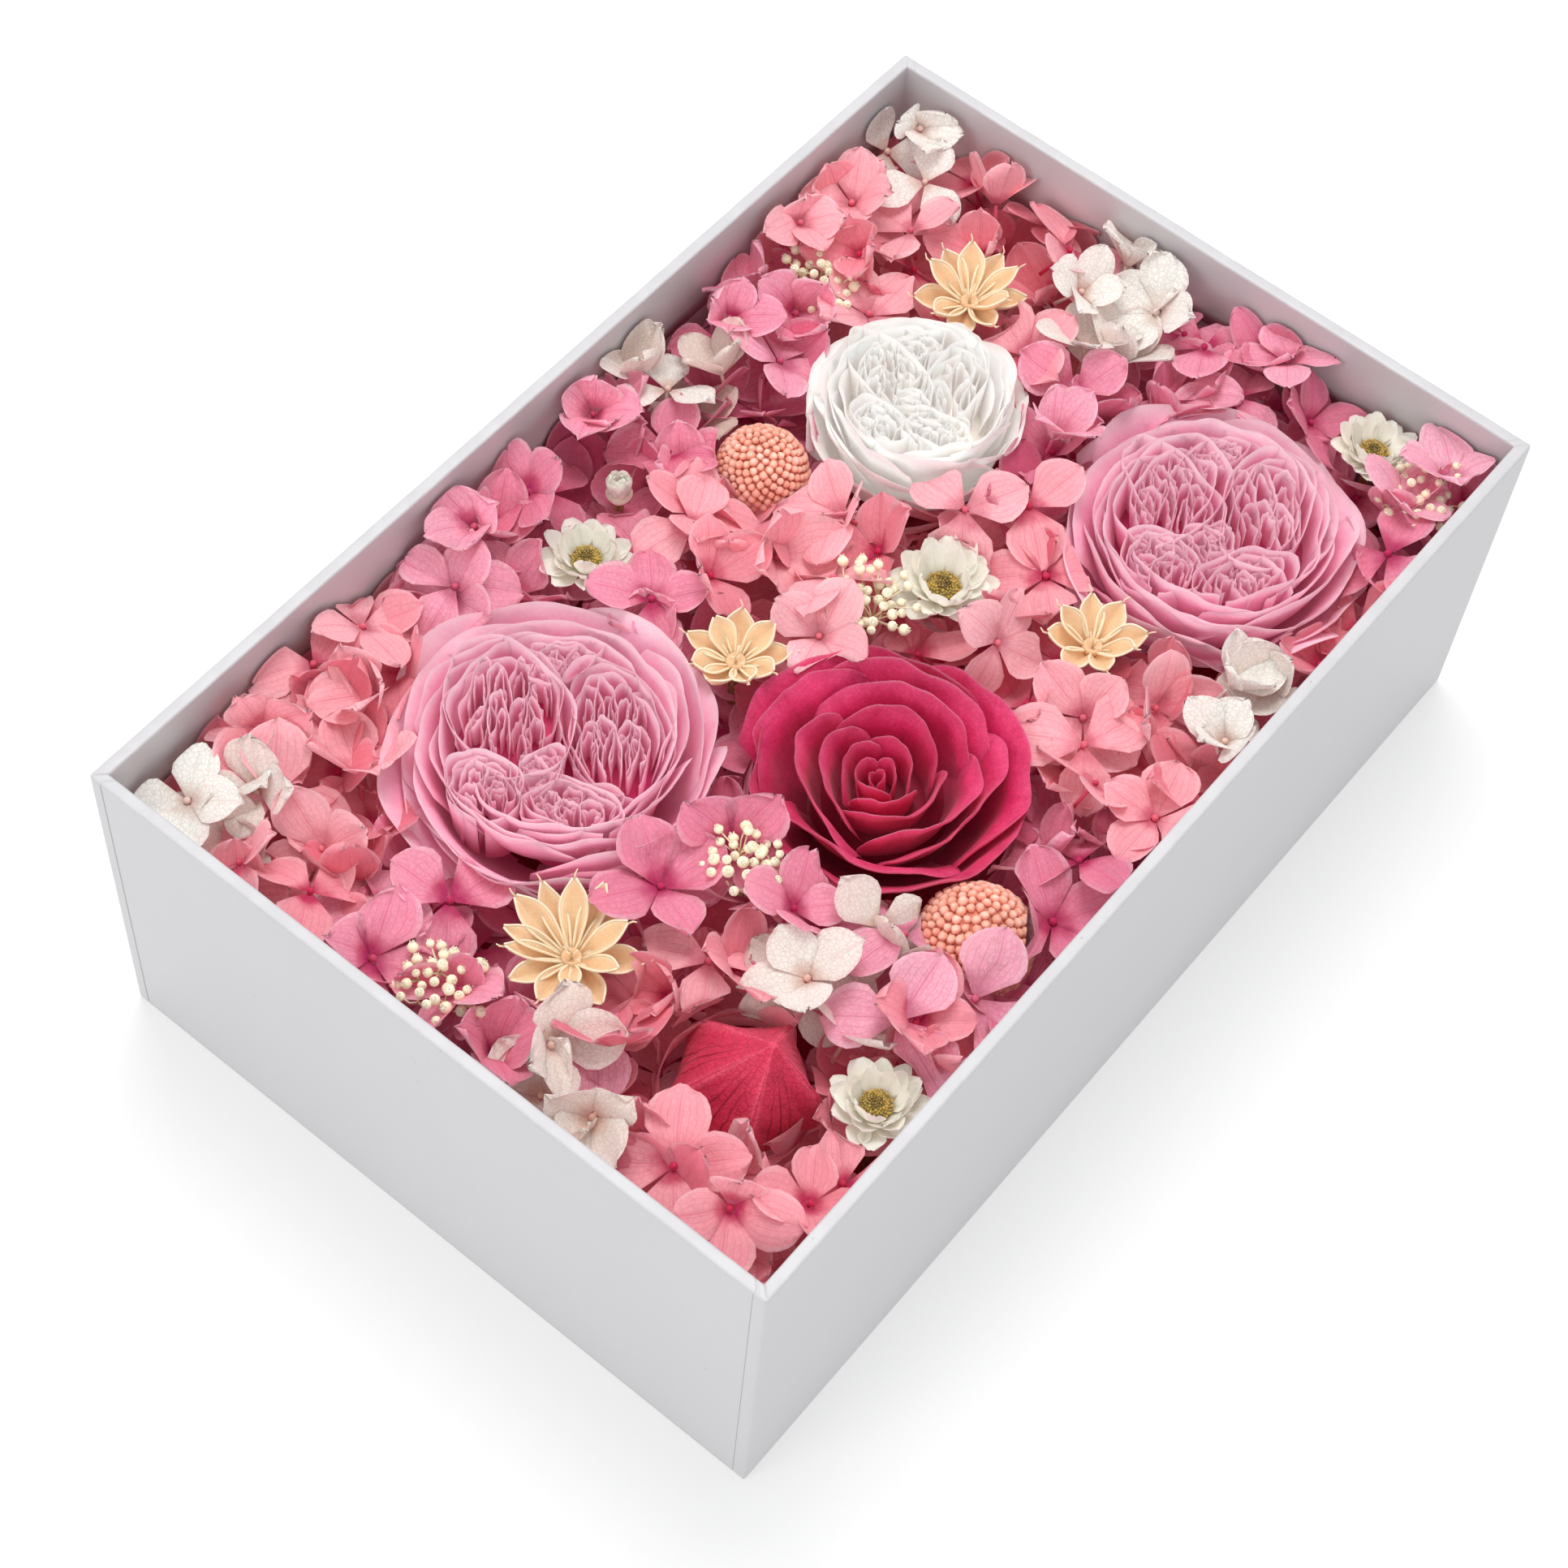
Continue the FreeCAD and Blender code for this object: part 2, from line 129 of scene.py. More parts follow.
class FlowerBoxSizes(bpy.types.PropertyGroup):
    """Sizes that change how full and how open the flowers look."""
    floret_spacing: bpy.props.FloatProperty(
        name="Floret spacing", description="Distance between neighbouring hydrangea florets",
        subtype="DISTANCE", unit="LENGTH", default=0.0112, min=0.008, max=0.02)
    sepal_length: bpy.props.FloatProperty(
        name="Sepal length", description="Length of one hydrangea sepal",
        subtype="DISTANCE", unit="LENGTH", default=0.0113, min=0.006, max=0.016)
    petal_thickness: bpy.props.FloatProperty(
        name="Petal thickness", description="Thickness of a rose petal",
        subtype="DISTANCE", unit="LENGTH", default=0.00035, min=0.0001, max=0.001)
    button_bumps: bpy.props.IntProperty(
        name="Billy button bumps", description="Tiny florets on one billy button", default=430, min=50,
        max=900)
    spray_buds: bpy.props.IntProperty(
        name="Spray buds", description="Buds on one spray of baby's breath", default=36, min=5, max=80)
    paper_waviness: bpy.props.FloatProperty(
        name="Paper waviness", description="How far the covering's folds wander",
        subtype="DISTANCE", unit="LENGTH", default=0.00007, min=0.0, max=0.0005)


def colours():
    return bpy.context.scene.flower_box_colours


def sizes():
    return bpy.context.scene.flower_box_sizes


def mix(a, b, share):
    """The colour that lies between two others."""
    return tuple(x + (y - x) * share for x, y in zip(a, b))


def deeper(shade, power):
    """The same colour in the depth of a flower: darker and more saturated."""
    return tuple(c ** power for c in shade)


# ------------------------------------------------------------------------------------ shapes

def smooth(low, high, value):
    """0 below low, 1 above high, and an even S between."""
    share = np.clip((np.asarray(value, float) - low) / (high - low), 0.0, 1.0)
    return share * share * (3 - 2 * share)


def ripple(rng, along, waves):
    """A smooth random line, about 1 high, with that many waves over a span of 2."""
    total = np.zeros_like(np.asarray(along, float))
    for order in (0.55, 1.0, 1.7):
        total = total + np.sin(math.pi * waves * order * along + rng.uniform(0, FULL_TURN)) / (1 + order)
    return total


def quads(index, wrap_across=False, wrap_along=False):
    """Four-sided faces over a grid of point numbers."""
    if wrap_across:
        index = np.concatenate([index, index[:, :1]], axis=1)
    if wrap_along:
        index = np.concatenate([index, index[:1]], axis=0)
    corners = (index[:-1, :-1], index[:-1, 1:], index[1:, 1:], index[1:, :-1])
    return np.stack([c.ravel() for c in corners], axis=1)


def box_of(node):
    """The lowest and the highest corner of one of the frame's nodes."""
    low, high = (np.array(corner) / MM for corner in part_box(node))
    return low, high


def head(node):
    """Where a flower head stands: its middle x and y, its radius, and its lowest and highest point."""
    low, high = box_of(node)
    middle = (low + high) / 2
    return middle[:2], float(min(high[0] - low[0], high[1] - low[1]) / 2), float(low[2]), float(high[2])


def laid_out(centre, angle, forward, side, height):
    """A grid of points, given forwards and sideways along a heading from a centre, and their heights."""
    shape = np.broadcast_shapes(np.shape(forward), np.shape(side), np.shape(height))
    grid = np.empty((*shape, 3))
    grid[..., 0] = centre[0] + forward * math.cos(angle) - side * math.sin(angle)
    grid[..., 1] = centre[1] + forward * math.sin(angle) + side * math.cos(angle)
    grid[..., 2] = height
    return grid


class Form:
    """Gathers closed leaves and solids, in millimetres, into one mesh.

    Every point also carries where it is on its leaf: -1 to 1 across, 0 to 1 along, and a shade, 0 as
    the petal comes, below 0 for a deeper one and above 0 for a paler one."""

    def __init__(self):
        self.points, self.leaf, self.faces, self.rims, self.count = [], [], [], [], 0

    def add(self, points, leaf, blocks, rim=None):
        """Adds one closed shell, turned so that its faces point outwards."""
        volume = 0.0
        for block in blocks:
            first = points[block[:, 0]]
            for k in range(1, block.shape[1] - 1):
                fan = np.cross(points[block[:, k]], points[block[:, k + 1]])
                volume += float((first * fan).sum())
        for block in blocks:
            turned = block if volume > 0 else block[:, ::-1]
            self.faces.extend((turned + self.count).tolist())
        self.points.append(points)
        self.leaf.append(leaf)
        self.rims.append(np.zeros(len(points), bool) if rim is None else rim)
        self.count += len(points)

    def sheet(self, grid, shade=0.0, thickness=0.3):
        """A thin leaf over a grid whose rows run along it: two faces that meet in a sharp edge."""
        rows, cols = grid.shape[:2]
        normal = np.cross(np.gradient(grid, axis=1), np.gradient(grid, axis=0))
        normal /= np.maximum(np.linalg.norm(normal, axis=2, keepdims=True), 1e-9)
        inner = np.zeros((rows, cols), bool)
        inner[1:-1, 1:-1] = True
        front = np.arange(rows * cols).reshape(rows, cols)
        back = front.copy()
        back[inner] = rows * cols + np.arange(inner.sum())
        half = normal * thickness / 2
        points = np.concatenate([(grid + half * inner[..., None]).reshape(-1, 3), (grid - half)[inner]])
        place = np.zeros((rows, cols, 3))
        place[..., 0] = np.linspace(-1, 1, cols)[None, :]
        place[..., 1] = np.linspace(0, 1, rows)[:, None]
        place[..., 2] = shade
        leaf = np.concatenate([place.reshape(-1, 3), place[inner]])
        rim = np.concatenate([~inner.ravel(), np.zeros(inner.sum(), bool)])
        self.add(points, leaf, [quads(front), quads(back)[:, ::-1]], rim)

    def solid(self, grid, shade=0.0, ends=True, place=None):
        """A closed form over rings of points, with a pole at each end, or joined end to end."""
        rows, cols = grid.shape[:2]
        index = np.arange(rows * cols).reshape(rows, cols)
        points = grid.reshape(-1, 3)
        blocks = [quads(index, True, not ends)]
        if place is None:
            place = np.zeros((rows, cols, 3))
            place[..., 0] = np.linspace(-1, 1, cols, endpoint=False)[None, :]
            place[..., 1] = np.linspace(0, 1, rows)[:, None]
            place[..., 2] = shade
        leaf = place.reshape(-1, 3)
        if ends:
            poles = rows * cols + np.arange(2)
            points = np.concatenate([points, [grid[0].mean(0), grid[-1].mean(0)]])
            leaf = np.concatenate([leaf, [place[0].mean(0), place[-1].mean(0)]])
            first, last = index[0], index[-1]
            pole = np.full(cols, poles[0])
            blocks.append(np.stack([np.roll(first, -1), first, pole], axis=1))
            blocks.append(np.stack([last, np.roll(last, -1), pole + 1], axis=1))
        self.add(points, leaf, blocks)

    def lathe(self, centre, outline, cols=24, shade=0.0):
        """A turned form round an upright line, over (radius, height) points from the bottom up."""
        angle = np.linspace(0, FULL_TURN, cols, endpoint=False)
        outline = np.asarray(outline, float)
        grid = np.empty((len(outline), cols, 3))
        grid[..., 0] = centre[0] + outline[:, :1] * np.cos(angle)
        grid[..., 1] = centre[1] + outline[:, :1] * np.sin(angle)
        grid[..., 2] = outline[:, 1:]
        self.solid(grid, shade)

    def tube(self, path, radii, sides=6, shade=0.0):
        """A round stem along a path, with a radius for each of its points."""
        path = np.asarray(path, float)
        along = np.gradient(path, axis=0)
        along /= np.linalg.norm(along, axis=1, keepdims=True)
        across = np.eye(3)[np.argmin(np.abs(along.mean(0)))]
        side = np.cross(along, across)
        side /= np.linalg.norm(side, axis=1, keepdims=True)
        up = np.cross(side, along)
        angle = np.linspace(0, FULL_TURN, sides, endpoint=False)
        ring = np.cos(angle)[None, :, None] * side[:, None] + np.sin(angle)[None, :, None] * up[:, None]
        self.solid(path[:, None] + np.broadcast_to(radii, len(path))[:, None, None] * ring, shade)

    def mesh(self, name):
        points = np.concatenate(self.points)
        data = bpy.data.meshes.new(name)
        data.from_pydata((points * MM).tolist(), [], self.faces, shade_flat=False)
        leaf = data.attributes.new("leaf", "FLOAT_VECTOR", "POINT")
        leaf.data.foreach_set("vector", np.concatenate(self.leaf).astype(np.float32).ravel())
        rim = np.concatenate(self.rims)
        if rim.any():
            pairs = np.zeros(len(data.edges) * 2, np.int32)
            data.edges.foreach_get("vertices", pairs)
            sharp = data.attributes.new("sharp_edge", "BOOLEAN", "EDGE")
            sharp.data.foreach_set("value", rim[pairs.reshape(-1, 2)].all(axis=1))
        data.update()
        return data


def slowed(over, give):
    """A distance past a soft limit, slowed down so that it never comes to more than the limit gives."""
    return give * (1 - np.exp(-np.maximum(over, 0) / give))


def inside_the_walls(points):
    """Turns up whatever reaches a wall, and holds down whatever would come over the rim."""
    points = points.copy()
    reach = np.array(CAD_BOX[1])[:2] / MM - WALL_AND_GAP
    for axis in (0, 1):
        soft = reach[axis] - SOFT_EDGE
        over = np.abs(points[:, axis]) - soft
        pressed = soft + slowed(over, WALL_GIVE)
        points[:, 2] += CROWDING_LIFT * np.maximum(over - slowed(over, WALL_GIVE), 0)
        points[:, axis] = np.where(over > 0, np.sign(points[:, axis]) * pressed, points[:, axis])
    over = np.maximum(points[:, 2] - SOFT_TOP, 0)
    points[:, 2] -= over - slowed(over, TOP_GIVE)
    return points


def place(name, mesh, material, nodes, slot):
    """Shows a mesh in the scene, in place of the frame's nodes that it stands for."""
    piece = bpy.data.objects.new(name, mesh)
    bpy.context.scene.collection.objects.link(piece)
    mesh.materials.clear()
    mesh.materials.append(material)
    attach(piece, "root")
    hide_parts(*nodes)
    return piece


def repaint(material, *nodes):
    """Gives the frame's own nodes their finish."""
    for node in nodes:
        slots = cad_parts[node].material_slots
        if not slots:
            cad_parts[node].data.materials.append(material)
        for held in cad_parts[node].material_slots:
            held.material = material


# ------------------------------------------------------------------------------------ finishes

class Wiring:
    """Adds nodes to one node tree, and links or sets their inputs."""

    def __init__(self, tree):
        self.tree = tree

    def put(self, socket, value):
        if isinstance(value, bpy.types.NodeSocket):
            self.tree.links.new(value, socket)
        elif isinstance(value, tuple) and len(value) == 3 and socket.type == "RGBA":
            socket.default_value = (*value, 1.0)
        else:
            socket.default_value = value

    def add(self, kind, inputs=(), **settings):
        node = self.tree.nodes.new(kind)
        for key, value in settings.items():
            setattr(node, key, value)
        for key, value in dict(inputs).items():
            self.put(node.inputs[key], value)
        return node

    def math(self, operation, a, b=0.0, clamp=False):
        return self.add("ShaderNodeMath", {0: a, 1: b}, operation=operation, use_clamp=clamp).outputs[0]

    def plus(self, a, b):
        return self.math("ADD", a, b)

    def minus(self, a, b, clamp=False):
        return self.math("SUBTRACT", a, b, clamp)

    def times(self, a, b, clamp=False):
        return self.math("MULTIPLY", a, b, clamp)

    def swing(self, value, amount):
        """A pattern of 0 to 1 moved to swing evenly about 0, and scaled."""
        return self.times(self.minus(value, 0.5), amount)

    def span(self, value, low, high, out_low=0.0, out_high=1.0):
        """Maps low..high to out_low..out_high, with an even S between."""
        node = self.add(
            "ShaderNodeMapRange",
            {"Value": value, "From Min": low, "From Max": high, "To Min": out_low, "To Max": out_high},
            interpolation_type="SMOOTHSTEP",
        )
        return node.outputs["Result"]

    def blend(self, factor, a, b, how="MIX"):
        node = self.add("ShaderNodeMix", {0: factor, 6: a, 7: b}, data_type="RGBA", blend_type=how)
        return node.outputs[2]

    def noise(self, vector, scale, detail=3.0, roughness=0.55, distortion=0.0):
        node = self.add(
            "ShaderNodeTexNoise",
            {"Vector": vector, "Scale": scale, "Detail": detail, "Roughness": roughness,
             "Distortion": distortion},
        )
        return node.outputs[0]


def new_group(name, inputs, outputs):
    """An empty shader node group with named sockets: its wiring, its inputs and its output node."""
    group = bpy.data.node_groups.new(name, "ShaderNodeTree")
    for socket, kind, value in inputs:
        made = group.interface.new_socket(name=socket, in_out="INPUT", socket_type="NodeSocket" + kind)
        if value is not None:
            made.default_value = (*value, 1.0) if kind == "Color" else value
    for socket, kind in outputs:
        group.interface.new_socket(name=socket, in_out="OUTPUT", socket_type="NodeSocket" + kind)
    wiring = Wiring(group)
    return wiring, wiring.add("NodeGroupInput").outputs, wiring.add("NodeGroupOutput").inputs


def petal_skin():
    """Colour, height and roughness of a petal: depth to rim, with painted shade in the depth and a painted
    highlight at the rim, fan of veins, fine net, mottle and specks.
    """
    if "Petal skin" in bpy.data.node_groups:
        return bpy.data.node_groups["Petal skin"]
    w, given, out = new_group(
        "Petal skin",
        [("Leaf", "Vector", None), ("Shade", "Float", 0.0), ("Place", "Vector", None),
         ("Deep", "Color", (0.3, 0.02, 0.08)), ("Body", "Color", (0.8, 0.2, 0.3)),
         ("Rim", "Color", (0.9, 0.5, 0.6)), ("Vein", "Color", (0.5, 0.05, 0.15)),
         ("Deep End", "Float", 0.5), ("Rim Start", "Float", 0.8), ("Rim Strength", "Float", 0.7),
         ("Edge Strength", "Float", 0.4), ("Vein Strength", "Float", 0.3), ("Vein Count", "Float", 7.0),
         ("Net Strength", "Float", 0.2), ("Net Scale", "Float", 900.0), ("Mottle", "Float", 0.25),
         ("Mottle Scale", "Float", 220.0), ("Gloss", "Float", 0.5)],
        [("Color", "Color"), ("Height", "Float"), ("Roughness", "Float")],
    )
    parts = w.add("ShaderNodeSeparateXYZ", {0: given["Leaf"]}).outputs
    across, along = parts[0], parts[1]
    shade = w.plus(parts[2], given["Shade"])
    side = w.math("ABSOLUTE", across)
    cloud = w.noise(given["Place"], given["Mottle Scale"], 4.0)
    fine = w.noise(given["Place"], w.times(given["Mottle Scale"], 7.0), 2.0)
    # from the depth of the flower to the body of the petal: partly the petal's own deeper foot, partly
    # painted shade of the flower's depths
    climb = w.plus(along, w.swing(cloud, 0.3))
    base = w.blend(w.span(climb, 0.0, given["Deep End"]), given["Deep"], given["Body"])
    # paler towards the rim and the two edges: partly the petal's own paler rim, partly a painted highlight
    # along rims and edges
    top = w.times(w.span(climb, given["Rim Start"], 1.02), given["Rim Strength"])
    edge = w.times(w.span(side, 0.72, 1.0), given["Edge Strength"])
    base = w.blend(w.math("MAXIMUM", top, w.times(edge, w.span(along, 0.1, 0.5))), base, given["Rim"])
    # a whole petal deeper or paler than its neighbours: random tone, and painted shade where the shade is set
    # low, as in the bed's lower layers and the roses' bowls
    base = w.blend(w.times(shade, -1.0, clamp=True), base, given["Deep"])
    base = w.blend(w.times(shade, 1.0, clamp=True), base, given["Rim"])
    # veins that fan out from the foot
    wander = w.swing(w.noise(given["Place"], 300.0, 2.0), 0.9)
    lanes = w.plus(w.times(across, given["Vein Count"]), wander)
    off = w.math("ABSOLUTE", w.minus(w.math("FRACT", w.times(lanes, 0.5)), 0.5))
    fan = w.times(w.span(off, 0.0, 0.085, 1.0, 0.0), w.span(along, 0.35, 1.0, 1.0, 0.15))
    middle = w.times(w.span(side, 0.0, 0.07, 1.0, 0.0), w.span(along, 0.5, 0.98, 1.0, 0.1))
    fan = w.times(w.math("MAXIMUM", fan, middle), given["Vein Strength"])
    cells = w.add("ShaderNodeTexVoronoi", {"Vector": given["Place"], "Scale": given["Net Scale"]},
                  feature="DISTANCE_TO_EDGE").outputs["Distance"]
    net = w.times(w.span(cells, 0.0, 0.11, 1.0, 0.0), given["Net Strength"])
    veins = w.math("MAXIMUM", fan, net)
    base = w.blend(veins, base, given["Vein"])
    # mottle, and the fine grain of dried tissue
    lift = w.swing(cloud, given["Mottle"])
    grain = w.swing(fine, w.times(given["Mottle"], 0.8))
    value = w.plus(1.0, w.times(w.plus(lift, grain), 2.0))
    tone = w.add("ShaderNodeHueSaturation", {"Value": value, "Color": base})
    w.put(out["Color"], tone.outputs[0])
    relief = w.minus(w.times(fine, 0.5), w.times(veins, 0.8))
    w.put(out["Height"], w.plus(relief, w.times(cloud, 0.6)))
    w.put(out["Roughness"], w.plus(given["Gloss"], w.swing(fine, 0.25)))
    return w.tree


def paper_skin():
    """Colour, height and roughness of paper and board: fibres, flecks, scuffs and a dark line at a seam."""
    if "Paper skin" in bpy.data.node_groups:
        return bpy.data.node_groups["Paper skin"]
    w, given, out = new_group(
        "Paper skin",
        [("Place", "Vector", None), ("Seam", "Float", 0.0), ("Fold", "Float", 0.0),
         ("Body", "Color", (0.8, 0.8, 0.8)), ("Fleck", "Color", (0.3, 0.3, 0.3)),
         ("Scuff", "Color", (0.9, 0.9, 0.9)),
         ("Fibre Scale", "Float", 1400.0), ("Fibre Strength", "Float", 0.06), ("Fleck Amount", "Float", 0.2),
         ("Gloss", "Float", 0.4)],
        [("Color", "Color"), ("Height", "Float"), ("Roughness", "Float")],
    )
    stretch = w.add("ShaderNodeVectorMath", {0: given["Place"], 1: (1.0, 1.0, 0.35)},
                    operation="MULTIPLY").outputs[0]
    fibre = w.noise(stretch, given["Fibre Scale"], 4.0, 0.65)
    cloud = w.noise(given["Place"], 30.0, 3.0)
    speck = w.add("ShaderNodeTexVoronoi", {"Vector": given["Place"], "Scale": 330.0}).outputs
    rare = w.span(w.add("ShaderNodeSeparateColor", {0: speck["Color"]}).outputs[0], 0.93, 0.95)
    dot = w.times(w.times(w.span(speck["Distance"], 0.05, 0.13, 1.0, 0.0), rare),
                 given["Fleck Amount"])
    base = w.blend(dot, given["Body"], given["Fleck"])
    worn = w.times(given["Fold"], w.span(w.noise(given["Place"], 160.0, 4.0), 0.42, 0.62))
    base = w.blend(w.times(worn, 0.12), base, given["Scuff"])
    base = w.blend(w.times(given["Seam"], 0.75), base, given["Fleck"])
    uneven = w.plus(w.swing(fibre, given["Fibre Strength"]),
                    w.swing(cloud, 0.05))
    uneven = w.minus(uneven, w.times(given["Fold"], 0.07))
    tone = w.add("ShaderNodeHueSaturation", {"Value": w.plus(1.0, uneven), "Color": base})
    w.put(out["Color"], tone.outputs[0])
    w.put(out["Height"], w.minus(fibre, w.times(given["Seam"], 1.5)))
    w.put(out["Roughness"], w.plus(given["Gloss"], w.swing(fibre, 0.2)))
    return w.tree


def grown_skin():
    """Colour, height and roughness of stems, foam and skins: a stretched grain between two colours."""
    if "Grown skin" in bpy.data.node_groups:
        return bpy.data.node_groups["Grown skin"]
    w, given, out = new_group(
        "Grown skin",
        [("Place", "Vector", None), ("Light", "Color", (0.3, 0.4, 0.2)), ("Dark", "Color", (0.1, 0.2, 0.05)),
         ("Stretch", "Vector", (1.0, 1.0, 0.2)), ("Grain Scale", "Float", 600.0),
         ("Cell Scale", "Float", 500.0),
         ("Cell Strength", "Float", 0.3), ("Gloss", "Float", 0.5)],
        [("Color", "Color"), ("Height", "Float"), ("Roughness", "Float")],
    )
    stretched = w.add("ShaderNodeVectorMath", {0: given["Place"], 1: given["Stretch"]},
                      operation="MULTIPLY").outputs[0]
    grain = w.noise(stretched, given["Grain Scale"], 5.0, 0.6)
    cells = w.add("ShaderNodeTexVoronoi", {"Vector": given["Place"],
                                           "Scale": given["Cell Scale"]}).outputs["Distance"]
    holes = w.times(w.span(cells, 0.0, 0.5, 1.0, 0.0), given["Cell Strength"])
    share = w.minus(w.span(grain, 0.3, 0.7), holes, clamp=True)
    w.put(out["Color"], w.blend(share, given["Dark"], given["Light"]))
    w.put(out["Height"], share)
    w.put(out["Roughness"], w.plus(given["Gloss"], w.swing(grain, 0.3)))
    return w.tree


def finish(name, group, values, relief, bump_depth, sockets=(), leaf=False):
    """A material whose colour, roughness and relief come from one of the skins."""
    if name in bpy.data.materials:
        return bpy.data.materials[name]
    material = bpy.data.materials.new(name)
    material.use_nodes = True
    tree = material.node_tree
    tree.nodes.clear()
    w = Wiring(tree)
    where = w.add("ShaderNodeTexCoord").outputs["Object"]
    skin = w.add("ShaderNodeGroup", node_tree=group)
    w.put(skin.inputs["Place"], where)
    if leaf:
        w.put(skin.inputs["Leaf"], w.add("ShaderNodeAttribute", attribute_name="leaf").outputs["Vector"])
        w.put(skin.inputs["Shade"], w.add("ShaderNodeAttribute", attribute_name="shade").outputs["Fac"])
    for key, value in values.items():
        w.put(skin.inputs[key], value)
    bump = w.add("ShaderNodeBump", {"Height": skin.outputs["Height"], "Strength": relief,
                                    "Distance": bump_depth})
    shader = w.add("ShaderNodeBsdfPrincipled", {
        "Base Color": skin.outputs["Color"], "Roughness": skin.outputs["Roughness"],
        "Normal": bump.outputs[0],
        **dict(sockets)})
    # a finish with emission glows in its own colour: painted light standing in for light coming through thin
    # petals
    if shader.inputs["Emission Strength"].default_value > 0:
        w.put(shader.inputs["Emission Color"], skin.outputs["Color"])
    w.put(w.add("ShaderNodeOutputMaterial").inputs["Surface"], shader.outputs[0])
    return material


def titled(values):
    """Amounts keyed as a skin names its sockets."""
    return {key.replace("_", " ").title(): value for key, value in values.items()}


def petal_finish(name, depth_and_shade, body, rim, vein, sockets=(), relief=0.35, bump_depth=0.0003, **values):
    """A petal's finish: the colours of its depth (partly painted shade), body, rim (partly painted highlight)
    and veins, and any of the skin's amounts.
    """
    amounts = titled(values)
    # the emission is painted light, a faint glow for light coming through the petals; subsurface and sheen
    # are the petals' own
    soft = {"Subsurface Weight": 0.4, "Subsurface Scale": 0.0018, "Subsurface Radius": (1.0, 0.55, 0.6),
            "Sheen Weight": 0.1, "Sheen Roughness": 0.5, "Emission Strength": 0.06, "Specular IOR Level": 0.3}
    shades = {"Deep": depth_and_shade, "Body": body, "Rim": rim, "Vein": vein}
    return finish(name, petal_skin(), {**shades, **amounts}, relief, bump_depth, {**soft, **dict(sockets)},
                  leaf=True)


def paper_finish(name, body, seams=False, **values):
    amounts = titled(values)
    material = finish(
        name, paper_skin(), {"Body": body, "Fleck": deeper(mix(body, (0.0, 0.0, 0.0), 0.45), 1.2),
                             "Scuff": mix(body, (1.0, 1.0, 1.0), 0.5), **amounts},
        0.25, 0.00008, {"Specular IOR Level": 0.35})
    if seams and not any(n.bl_idname == "ShaderNodeAttribute" for n in material.node_tree.nodes):
        w = Wiring(material.node_tree)
        skin = next(n for n in material.node_tree.nodes if n.bl_idname == "ShaderNodeGroup")
        leaf = w.add("ShaderNodeAttribute", attribute_name="leaf").outputs["Vector"]
        parts = w.add("ShaderNodeSeparateXYZ", {0: leaf}).outputs
        w.put(skin.inputs["Seam"], parts[0])
        w.put(skin.inputs["Fold"], parts[2])
    return material


def grown_finish(name, light, dark, relief=0.4, **values):
    amounts = titled(values)
    return finish(name, grown_skin(), {"Light": light, "Dark": dark, **amounts}, relief, 0.0002,
                  {"Specular IOR Level": 0.3})


# ------------------------------------------------------------------------------------ scattering

def scatter_tree():
    """Geometry nodes that set a small form on every marked point of a mesh, and keep the rest."""
    if "Scatter" in bpy.data.node_groups:
        return bpy.data.node_groups["Scatter"]
    tree = bpy.data.node_groups.new("Scatter", "GeometryNodeTree")
    for socket, kind in (("Geometry", "Geometry"), ("Forms", "Collection"), ("Size", "Float"),
                         ("Size Variation", "Float"), ("Seed", "Int"), ("Finish", "Material")):
        tree.interface.new_socket(name=socket, in_out="INPUT", socket_type="NodeSocket" + kind)
    tree.interface.new_socket(name="Geometry", in_out="OUTPUT", socket_type="NodeSocketGeometry")
    w = Wiring(tree)
    given = w.add("NodeGroupInput").outputs
    marked = w.add("GeometryNodeInputNamedAttribute", {"Name": "spot"}, data_type="BOOLEAN").outputs[0]
    kind = w.add("GeometryNodeInputNamedAttribute", {"Name": "kind"}, data_type="INT").outputs[0]
    turn = w.add("GeometryNodeInputNamedAttribute", {"Name": "turn"}, data_type="FLOAT_VECTOR").outputs[0]
    size = w.add("GeometryNodeInputNamedAttribute", {"Name": "size"}, data_type="FLOAT").outputs[0]
    forms = w.add("GeometryNodeCollectionInfo", {
        "Collection": given["Forms"], "Separate Children": True, "Reset Children": True}).outputs[0]
    spread = w.add("FunctionNodeRandomValue", {
        2: w.minus(1.0, given["Size Variation"]), 3: w.plus(1.0, given["Size Variation"]),
        "Seed": given["Seed"]}, data_type="FLOAT").outputs[1]
    scale = w.times(w.times(size, spread), given["Size"])
    rotation = w.add("FunctionNodeEulerToRotation", {0: turn}).outputs[0]
    set_out = w.add("GeometryNodeInstanceOnPoints", {
        "Points": given["Geometry"], "Selection": marked, "Instance": forms, "Pick Instance": True,
        "Instance Index": kind, "Rotation": rotation, "Scale": scale}).outputs[0]
    rest = w.add("GeometryNodeDeleteGeometry", {"Geometry": given["Geometry"], "Selection": marked},
                 domain="POINT").outputs[0]
    joined = w.add("GeometryNodeJoinGeometry")
    tree.links.new(set_out, joined.inputs[0])
    tree.links.new(rest, joined.inputs[0])
    real = w.add("GeometryNodeRealizeInstances", {"Geometry": joined.outputs[0]}).outputs[0]
    painted = w.add("GeometryNodeSetMaterial", {"Geometry": real, "Material": given["Finish"]}).outputs[0]
    w.put(w.add("NodeGroupOutput").inputs[0], painted)
    return tree


